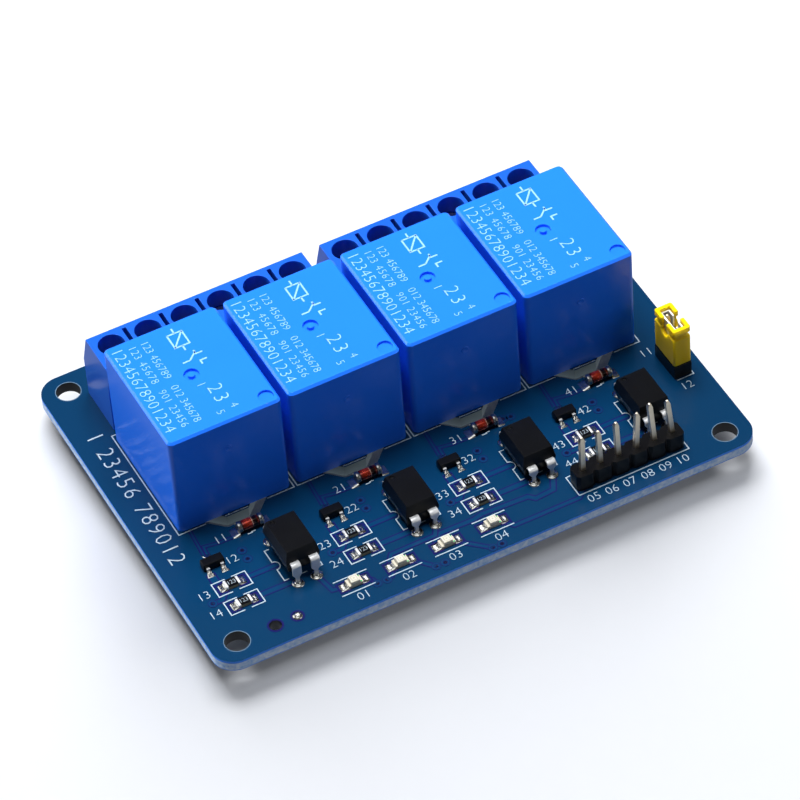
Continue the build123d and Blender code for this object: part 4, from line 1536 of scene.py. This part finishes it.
@dataclass
class RelayBank(Assembly):
    """Four sealed relays and the generic print on their tops.

    Lengths are millimetres; places of the print are from the middle of a case.
    """

    edge_width: float = 0.14
    edge_steps: int = 3
    ink_height: float = 0.012
    # The long row of figures: height, place along and across the case, and length
    code: str = "12345678901234"
    code_height: float = 1.5
    code_place: Point = (-0.35, -6.3)
    code_length: float = 15.6
    # The rows of small figures: place across the case and two groups, then their height, length and places along
    small_rows: tuple[tuple[float, tuple[str, str]], ...] = (
        (-4.4, ("123 45678", "901 23456")),
        (-2.72, ("123 456789", "012 345678")),
    )
    small_height: float = 1.03
    small_length: float = 6.9
    small_places: Point = (-4.3, 4.1)
    # Coil with its two leads, then the common contact with its tongue and the two fixed contacts
    symbol_width: float = 0.22
    symbol_lines: tuple[tuple[Point, ...], ...] = (
        ((0.2, 7.4), (2.2, 7.4), (2.2, 5.0), (0.2, 5.0), (0.2, 7.4)),
        ((0.2, 5.0), (2.2, 7.4)),
        ((1.2, 7.4), (1.2, 8.3)),
        ((1.2, 5.0), (1.2, 4.1)),
        ((-0.1, 2.2), (0.9, 2.2)),
        ((0.9, 2.2), (2.1, 3.3)),
        ((2.0, 3.6), (2.0, 2.9), (2.9, 2.9)),
        ((2.0, 0.9), (2.0, 1.6), (2.9, 1.6)),
    )
    # Numbers of the pins: figure, place and height
    pin_numbers: tuple[tuple[str, float, float, float], ...] = (
        ("1", 0.3, -2.2, 1.1), ("2", 1.5, -3.6, 1.9), ("3", 1.5, -5.4, 1.9), ("4", 2.3, -7.3, 1.0),
        ("5", 0.3, -7.6, 1.0),
    )
    # Ring on the front wall: radii, height over the case's foot, sink into the wall, rounding, and the heights of
    # its crest, its inner edge and its floor
    ring_radii: Point = (0.55, 0.33)
    ring_height: float = 11.15
    ring_sink: float = 0.01
    ring_round: float = 0.08
    ring_steps: tuple[float, float, float] = (0.09, 0.08, 0.02)

    def build(self) -> list[bpy.types.Object]:
        """Build and dress the relays, with every case a copy of the first.

        Returns:
            The pieces.
        """
        made, first = [], node_middle("relay_case_1")
        case = softened_mesh("relay_case_1", self.edge_width, self.edge_steps)
        for n in CHANNELS:
            node, shape = f"relay_case_{n}", case.copy()
            shape.transform(Matrix.Translation((node_middle(node) - first) * MM))
            made.append(finished_piece(shape, f"relay_{n}", RELAY_PLASTIC, BOARD, [node]))
            made.append(dressed_node(f"relay_pins_{n}", TIN_PLATE))
        return [*made, self.top_print(), self.front_marks()]

    def top_print(self) -> bpy.types.Object:
        """Rows of plain figures and a changeover contact symbol on every case.

        Returns:
            The piece.
        """
        builder = PieceBuilder()
        for n in CHANNELS:
            low, high = node_box(f"relay_case_{n}")
            centre = (low + high) / 2
            self.figures(builder, turned_frame((centre.x, centre.y, high.z), z=-90))
            self.symbol(builder, centre, high.z)
        return finished_piece(builder.mesh("print"), "relay_print", CASE_INK, BOARD)

    def figures(self, builder: PieceBuilder, place: Matrix) -> None:
        """Rows of figures along one case.

        Args:
            builder: Takes the shapes.
            place: Frame on the case's top whose X runs towards the input edge and Y across the case.
        """
        spot = place @ Matrix.Translation((*self.code_place, 0))
        builder.digits(self.code, self.code_height, spot, self.ink_height, self.code_length)
        for across, groups in self.small_rows:
            for text, along in zip(groups, self.small_places):
                spot = place @ Matrix.Translation((along, across, 0))
                builder.digits(text, self.small_height, spot, self.ink_height, self.small_length)

    def symbol(self, builder: PieceBuilder, centre: Vector, top: float) -> None:
        """Coil and changeover contact drawn with lines, and the numbers of the five pins.

        Args:
            builder: Takes the shapes.
            centre: Middle of the case.
            top: Height of the case's top.
        """
        for route in self.symbol_lines:
            lines = [(centre.x + x, centre.y + y) for x, y in route]
            builder.ribbon(lines, self.symbol_width, top, top + self.ink_height)
        for text, x, y, height in self.pin_numbers:
            builder.digits(text, height, turned_frame((centre.x + x, centre.y + y, top), z=-90), self.ink_height)

    def front_marks(self) -> bpy.types.Object:
        """Small raised ring that the mould leaves on each front wall.

        Returns:
            The piece.
        """
        (outer, inner), (crest, edge, floor), bend = self.ring_radii, self.ring_steps, self.ring_round
        profile = [(outer, 0.0), (outer - bend, crest), (inner, edge), (inner - bend, floor), (0, floor)]
        builder = PieceBuilder()
        for n in CHANNELS:
            low, high = node_box(f"relay_case_{n}")
            spot = (low.x + high.x) / 2, low.y + self.ring_sink, low.z + self.ring_height
            builder.lathe(profile, turned_frame(spot, x=90))
        return finished_piece(builder.mesh("marks"), "relay_front_rings", RELAY_PLASTIC, BOARD)


@dataclass
class TerminalBlocks(Assembly):
    """Two six-pole terminal blocks with their screws, clamps and contacts.

    Lengths are millimetres, and the run-out is turns.
    """

    edge_width: float = 0.12
    screw_edge: float = 0.12
    thread_pitch: float = 0.5
    thread_depth: float = 0.16
    thread_runout: float = 0.6
    # How much shorter than the plain shank the thread is, and how far above its foot it starts
    shank_gap: float = 0.3
    foot_gap: float = 0.17
    # Points this close to a height or a radius lie on it
    near: float = 0.01

    def build(self) -> list[bpy.types.Object]:
        """Build and dress the blocks.

        Returns:
            The pieces.
        """
        made = []
        for side in ("left", "right"):
            made.append(softened_piece(f"terminal_housing_{side}", f"terminal_block_{side}", TERMINAL_PLASTIC,
                                       self.edge_width))
            made.append(dressed_node(f"terminal_contacts_{side}", TIN_PLATE))
        thread = ThreadTree()
        for n in POLES:
            made.append(dressed_node(f"terminal_clamp_{n}", CLAMP_STEEL))
            made.append(self.screw(n, thread))
        return made

    def screw(self, n: int, thread: ThreadTree) -> bpy.types.Object:
        """Slotted screw with a wound thread.

        Args:
            n: Number of the pole.
            thread: Tree that winds the thread.

        Returns:
            The screw, in place of its plain CAD node.
        """
        node = f"terminal_screw_{n}"
        low, high = node_box(node)
        points = [v.co / MM for v in frame["nodes"][node].data.vertices]
        middle, radius = (low + high) / 2, (high.x - low.x) / 2

        def reach(point: Vector) -> float:
            """Distance of a point from the screw's axis."""
            return math.hypot(point.x - middle.x, point.y - middle.y)

        shank = max(reach(p) for p in points if p.z < low.z + self.near)
        seat = min(p.z for p in points if reach(p) > radius - self.near)
        head = softened_mesh(node, self.screw_edge, keep=lambda p: p.z > seat - self.near)
        length = seat - low.z
        sizes = {"Core Radius": (shank - self.thread_depth) * MM, "Ridge": self.thread_depth * MM,
                 "Turns": length / self.thread_pitch - self.thread_runout, "Length": (length - self.shank_gap) * MM}
        foot = Vector((middle.x, middle.y, low.z + self.foot_gap)) * MM
        return finished_piece(thread.mesh(head, sizes, foot, SCREW_STEEL), f"clamp_screw_{n}", SCREW_STEEL,
                              f"screw_{n}", [node])


@dataclass
class DriverParts(Assembly):
    """Optocouplers, transistors, diodes and chip resistors with their solder.

    Lengths are millimetres.
    """

    body_edge: float = 0.07
    lead_edge: float = 0.05
    chip_edge: float = 0.08
    # Fillets of solder: length, width and height at a resistor, a diode and a lead
    chip_pad: tuple[float, float, float] = (0.85, 1.4, 0.36)
    diode_pad: tuple[float, float, float] = (1.0, 1.7, 0.34)
    lead_pad: tuple[float, float, float] = (0.85, 0.55, 0.34)
    # How far they reach under the part, and their far width over the near one
    chip_lap: float = 0.12
    lead_lap: float = 0.05
    chip_flare: float = 0.95
    lead_flare: float = 2.0
    # Ring of solder at an optocoupler lead: its profile as shares of its radius and height
    foot_radius: float = 0.8
    foot_height: float = 0.42
    foot: tuple[Point, ...] = (
        (1.0, 0.0), (0.97, 0.16), (0.82, 0.34), (0.6, 0.36), (0.42, 0.55), (0.34, 1.0), (0.0, 1.0))
    # Ends of a diode: share of the glass radius, and drop from the cap's radius, each with the distance from the end
    glass_end: tuple[Point, ...] = ((0.9, 0.0), (0.98, 0.1), (1.0, 0.25))
    cap_end: tuple[Point, ...] = ((0.12, 0.0), (0.03, 0.05), (0.0, 0.14))
    glaze_depth: float = 0.08
    # Figures on a resistor: height, thickness of the ink and length
    figures: str = "123"
    figure_height: float = 0.62
    figure_ink: float = 0.008
    figure_length: float = 0.95

    def __post_init__(self) -> None:
        """Read the board's top and the diodes' row from the frame."""
        self.top = node_box("circuit_board")[1].z
        self.glass = solid_boxes("diode_glass")
        pitch = self.glass[1][0].x - self.glass[0][0].x
        half = (self.glass[0][1].x - self.glass[0][0].x) / 2
        # Drawn glass tube fused over a copper slug: deep red, wet gloss, with the slug's metal shining through
        self.red_glass = BandedGlass("Fused red glass tube", "#8f2313", "#7a1b0f", 0.16, metallic=0.7, coat=0.6,
                                     grain_mm=0.5, grain_height_mm=0.002, first_mm=self.glass[0][0].x + half,
                                     pitch_mm=pitch, half_mm=half)
        # Sintered alumina chip: olive-grey cut sides under a black glaze
        glaze = node_box("resistor_bodies")[1].z - self.glaze_depth
        self.ceramic = GlazedCeramic("Glazed alumina chip", "#8d8870", "#77725c", 0.3, ior=1.35, mottle_mm=0.6,
                                     grain_mm=0.08, grain_height_mm=0.004, glaze_from_mm=glaze)

    def build(self) -> list[bpy.types.Object]:
        """Build and dress the driver parts.

        Returns:
            The pieces.
        """
        made = []
        for n in CHANNELS:
            made += [
                softened_piece(f"optocoupler_body_{n}", f"coupler_{n}", BLACK_RESIN, self.body_edge),
                softened_piece(f"optocoupler_leads_{n}", f"coupler_leads_{n}", TIN_PLATE,
                               self.lead_edge),
            ]
        return [
            *made,
            softened_piece("transistor_bodies", "transistors", BLACK_RESIN, self.chip_edge),
            dressed_node("transistor_leads", TIN_PLATE),
            dressed_node("resistor_bodies", self.ceramic),
            softened_piece("resistor_ends", "resistor_caps", TIN_PLATE, self.chip_edge),
            self.diodes(),
            self.diode_caps(),
            self.coupler_feet(),
            self.chip_solder(),
            self.lead_solder(),
            self.chip_figures(),
        ]

    def diodes(self) -> bpy.types.Object:
        """Glass bodies, drawn in where they meet their caps.

        Returns:
            The piece.
        """
        glass = self.barrels(self.glass, lambda radius: [(radius * share, inset) for share, inset in self.glass_end])
        return finished_piece(glass, "diode_bodies", self.red_glass, BOARD, ["diode_glass"])

    def diode_caps(self) -> bpy.types.Object:
        """Metal caps with rolled edges.

        Returns:
            The piece.
        """
        caps = self.barrels(solid_boxes("diode_caps"),
                            lambda radius: [(radius - drop, inset) for drop, inset in self.cap_end])
        return finished_piece(caps, "diode_end_caps", CAP_NICKEL, BOARD, ["diode_caps"])

    def barrels(self, boxes: Sequence[tuple[Vector, Vector]], end: Callable[[float], list[Point]]) -> bpy.types.Mesh:
        """Round bodies that lie along X, alike at both ends.

        Args:
            boxes: Box of each body.
            end: Gives, for a body's radius, the radii near an end and their distances from it.

        Returns:
            One mesh of all of them.
        """
        builder = PieceBuilder()
        for low, high in boxes:
            half, steps = (high.x - low.x) / 2, end((high.z - low.z) / 2)
            profile = [(r, -half + inset) for r, inset in steps] + [(r, half - inset) for r, inset in steps[::-1]]
            builder.lathe(profile, turned_frame((low + high) / 2, y=90), segments=32)
        return builder.mesh("barrels")

    def coupler_feet(self) -> bpy.types.Object:
        """Rings of solder where the optocoupler leads enter the board.

        Returns:
            The piece.
        """
        unit = turned_unit([(self.foot_radius * a, self.foot_height * b) for a, b in self.foot], segments=24)
        spots = [Spot(t.x, t.y, self.top) for n in CHANNELS for t in tail_spots(f"optocoupler_leads_{n}")]
        return soldered_spots(unit, spots, "coupler_solder")

    def chip_solder(self) -> bpy.types.Object:
        """Fillets at both ends of every chip resistor and diode.

        Returns:
            The piece.
        """
        spots = []
        for node, pad in (("resistor_ends", self.chip_pad), ("diode_caps", self.diode_pad)):
            ends = solid_boxes(node)
            for low, high in ends:
                middle = (low + high) / 2
                partner = min((e for e in ends if e[0] != low), key=lambda e: ((e[0] + e[1]) / 2 - middle).length)
                if partner[0].x < low.x:
                    spots.append(Spot(high.x - self.chip_lap, middle.y, self.top, 0.0, pad))
                else:
                    spots.append(Spot(low.x + self.chip_lap, middle.y, self.top, 180.0, pad))
        return soldered_spots(SolderFillet(self.chip_flare).mesh(), spots, "chip_solder")

    def lead_solder(self) -> bpy.types.Object:
        """Flared fillets under the transistor leads.

        Returns:
            The piece.
        """
        bodies = solid_middles("transistor_bodies")
        spots = []
        for lead in solid_middles("transistor_leads"):
            side = -1 if lead.y < min(bodies, key=lambda b: (b - lead).length).y else 1
            spots.append(Spot(lead.x, lead.y + side * self.lead_lap, self.top, side * 90.0, self.lead_pad))
        return soldered_spots(SolderFillet(self.lead_flare).mesh(), spots, "lead_solder")

    def chip_figures(self) -> bpy.types.Object:
        """Plain figures on the resistors.

        Returns:
            The piece.
        """
        builder = PieceBuilder()
        for low, high in solid_boxes("resistor_bodies"):
            place = Matrix.Translation(((low.x + high.x) / 2, (low.y + high.y) / 2, high.z))
            builder.digits(self.figures, self.figure_height, place, self.figure_ink, self.figure_length)
        return finished_piece(builder.mesh("figures"), "resistor_figures", BOARD_INK, BOARD)


@dataclass
class Indicators(Assembly):
    """Four chip lamps along the front edge.

    Lengths are millimetres.
    """

    base_edge: float = 0.05
    lens_edge: float = 0.1
    lens_steps: int = 3
    # Fillet of solder: length, width and height, reach under the lamp, and far width over near width
    pad: tuple[float, float, float] = (1.05, 1.4, 0.34)
    pad_lap: float = 0.1
    pad_flare: float = 0.9
    # Polarity mark: sides, place from the base's right end and sides, and height above and below its top
    mark: Point = (0.2, 0.2)
    mark_inset: Point = (0.24, 0.14)
    mark_height: float = 0.02

    def __post_init__(self) -> None:
        """Read the lamps' row from the frame."""
        self.top = node_box("circuit_board")[1].z
        self.bases = solid_boxes("led_bases")
        first, second, *_ = solid_middles("led_bases")
        # Milky epoxy over a white reflector: warm off-white, softly glossy
        self.lens = LampResin("Cast milky lamp resin", "#bdbaaf", "#b3b0a4", 0.3, subsurface=0.5, mottle_mm=0.8,
                              grain_mm=0.15, grain_height_mm=0.003, first_mm=(first.x, first.y),
                              pitch_mm=second.x - first.x)

    def build(self) -> list[bpy.types.Object]:
        """Build and dress the lamps.

        Returns:
            The pieces.
        """
        return [
            softened_piece("led_bases", "lamp_bases", LAMP_BASE, self.base_edge),
            softened_piece("led_lenses", "lamp_lenses", self.lens, self.lens_edge, self.lens_steps),
            self.marks(),
            self.solder(),
        ]

    def marks(self) -> bpy.types.Object:
        """Green polarity marks at the right end of every base.

        Returns:
            The piece.
        """
        builder = PieceBuilder()
        across, inset = self.mark_inset
        for low, high in self.bases:
            for y in (low.y + inset, high.y - inset):
                corners = rectangle(high.x - across, y, *self.mark)
                builder.prism(corners, high.z - self.mark_height, high.z + self.mark_height)
        return finished_piece(builder.mesh("marks"), "lamp_marks", LAMP_MARK, BOARD)

    def solder(self) -> bpy.types.Object:
        """Fillets at both ends of every lamp.

        Returns:
            The piece.
        """
        spots = []
        for low, high in self.bases:
            y = (low.y + high.y) / 2
            spots.append(Spot(high.x - self.pad_lap, y, self.top, 0.0, self.pad))
            spots.append(Spot(low.x + self.pad_lap, y, self.top, 180.0, self.pad))
        return soldered_spots(SolderFillet(self.pad_flare).mesh(), spots, "lamp_solder")


@dataclass
class Headers(Assembly):
    """Input header, link header and the push-on link cap.

    Lengths are millimetres.
    """

    moulding_edge: float = 0.08
    pin_edge: float = 0.05
    cap_edge: float = 0.1
    contact_edge: float = 0.05

    def build(self) -> list[bpy.types.Object]:
        """Build and dress the headers.

        Returns:
            The pieces.
        """
        made = []
        for name in ("input", "link"):
            made += [
                softened_piece(f"{name}_header_body", f"{name}_moulding", HEADER_PLASTIC,
                               self.moulding_edge),
                softened_piece(f"{name}_header_pins", f"{name}_pins", PIN_METAL, self.pin_edge),
            ]
        return [
            *made,
            softened_piece("link_cap", "link_cap_body", CAP_PLASTIC, self.cap_edge),
            softened_piece("link_contact", "link_spring", TIN_PLATE, self.contact_edge),
        ]


# Studio


@dataclass(frozen=True)
class Softbox:
    """A square area light.

    Attributes:
        name: Its name.
        place: Position in millimetres.
        size: Side in millimetres.
        power: Watts.
        lit: What it falls on.
    """

    name: str
    place: tuple[float, float, float]
    size: float
    power: float
    lit: Lit


@dataclass
class Studio:
    """Pale floor, soft lights and the camera at the photograph's angle.

    Lengths are millimetres and angles degrees; the horizon is the height, as a share, over which sky turns to ground.
    """

    eye: tuple[float, float, float] = (-176.89, -396.60, 456.96)
    aim: tuple[float, float, float] = (1.62, 1.38, 1.6)
    roll: float = -4.736
    lens: float = 225.13
    sensor: float = 36.0
    clip: Point = (10.0, 20000.0)
    floor_size: float = 4000.0
    sky: str = "#4f5052"
    ground: str = "#a6abb2"
    horizon: float = 0.15
    softboxes: tuple[Softbox, ...] = (
        Softbox("overhead", (30.0, 190.0, 725.0), 420.0, 14.6, Lit.MATT),
        Softbox("overhead sheen", (-120.0, -90.0, 750.0), 560.0, 1.5, Lit.GLOSS),
        Softbox("left", (-520.0, 480.0, 190.0), 360.0, 4.4, Lit.MATT),
        Softbox("left sheen", (-480.0, 480.0, 350.0), 500.0, 1.6, Lit.GLOSS),
        Softbox("metal sheen", (170.0, 420.0, 540.0), 320.0, 1.6, Lit.METAL),
        Softbox("front right", (450.0, -550.0, 260.0), 400.0, 0.6, Lit.OBJECT),
        Softbox("floor from behind", (190.0, 600.0, 410.0), 620.0, 13.2, Lit.FLOOR),
        Softbox("floor from above", (0.0, 60.0, 900.0), 600.0, 2.0, Lit.FLOOR),
        Softbox("floor from the front", (-100.0, -700.0, 350.0), 600.0, 1.4, Lit.FLOOR),
    )

    def build(self) -> None:
        """Make the floor, the lights, the sky and the camera."""
        floor = self.floor()
        for box in self.softboxes:
            self.light(box, floor)
        self.surroundings()
        self.camera()
        bpy.context.scene.view_settings.view_transform = "Standard"

    def light(self, box: Softbox, floor: bpy.types.Object) -> None:
        """Add one softbox, aimed at the origin and kept off what it doesn't light.

        Args:
            box: The softbox.
            floor: The floor, which some lights fall on alone and others pass over.
        """
        light = bpy.data.lights.new(box.name, "AREA")
        light.energy, light.size = box.power, box.size * MM
        holder = add_object(box.name, light)
        holder.location = Vector(box.place) * MM
        holder.rotation_euler = (-Vector(box.place)).to_track_quat("-Z", "Y").to_euler()
        holder.visible_glossy = box.lit is not Lit.MATT
        holder.visible_diffuse = box.lit is not Lit.GLOSS
        group = bpy.data.collections.new(box.name)
        for piece in filter(is_metal, bpy.data.objects) if box.lit is Lit.METAL else [floor]:
            group.objects.link(piece)
        state = "INCLUDE" if box.lit in (Lit.FLOOR, Lit.METAL) else "EXCLUDE"
        for entry in group.collection_objects:
            entry.light_linking.link_state = state
        holder.light_linking.receiver_collection = group

    def surroundings(self) -> None:
        """Dim sky above and a paler ground below that fills the upright faces."""
        world = bpy.data.worlds.new("surroundings")
        world.use_nodes = True
        tree = world.node_tree
        tree.nodes.clear()
        add = partial(add_node, tree)
        height = add("ShaderNodeSeparateXYZ", {0: add("ShaderNodeTexCoord").outputs["Generated"]}).outputs["Z"]
        share = add("ShaderNodeMapRange", {0: height, 1: -self.horizon, 2: self.horizon})
        colour = add("ShaderNodeMix", {0: share, 6: self.ground, 7: self.sky}, data_type="RGBA")
        glow = add("ShaderNodeBackground", {"Color": colour})
        add("ShaderNodeOutputWorld", {"Surface": glow})
        bpy.context.scene.world = world

    def floor(self) -> bpy.types.Object:
        """Plain pale floor under the lowest tails.

        Returns:
            The floor.
        """
        side = self.floor_size * MM
        mesh = bpy.data.meshes.new("floor")
        mesh.from_pydata([(x, y, cad_box[0].z) for x, y in rectangle(0.0, 0.0, side, side)], [], [(0, 1, 2, 3)])
        mesh.materials.append(STUDIO_CARD.material())
        floor = add_object("floor", mesh)
        floor.visible_diffuse = floor.visible_glossy = False
        return floor

    def camera(self) -> None:
        """Camera at the photograph's place."""
        data = bpy.data.cameras.new("camera")
        data.lens, data.sensor_width = self.lens, self.sensor
        data.clip_start, data.clip_end = (distance * MM for distance in self.clip)
        camera = add_object("camera", data)
        eye, aim = Vector(self.eye) * MM, Vector(self.aim) * MM
        level = (aim - eye).to_track_quat("-Z", "Y")
        camera.rotation_mode = "QUATERNION"
        camera.rotation_quaternion = level @ Euler((0, 0, math.radians(self.roll))).to_quaternion()
        camera.location = eye
        bpy.context.scene.camera = camera


def main() -> None:
    """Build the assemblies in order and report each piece."""
    logging.basicConfig(level=logging.INFO, format="%(message)s")
    for assembly in (CircuitBoard(), RelayBank(), TerminalBlocks(), DriverParts(), Indicators(), Headers()):
        for piece in assembly.build():
            LOG.info("%s: %s, %d faces", type(assembly).__name__, piece.name, len(piece.data.polygons))
    Studio().build()


if __name__ == "__main__":
    main()
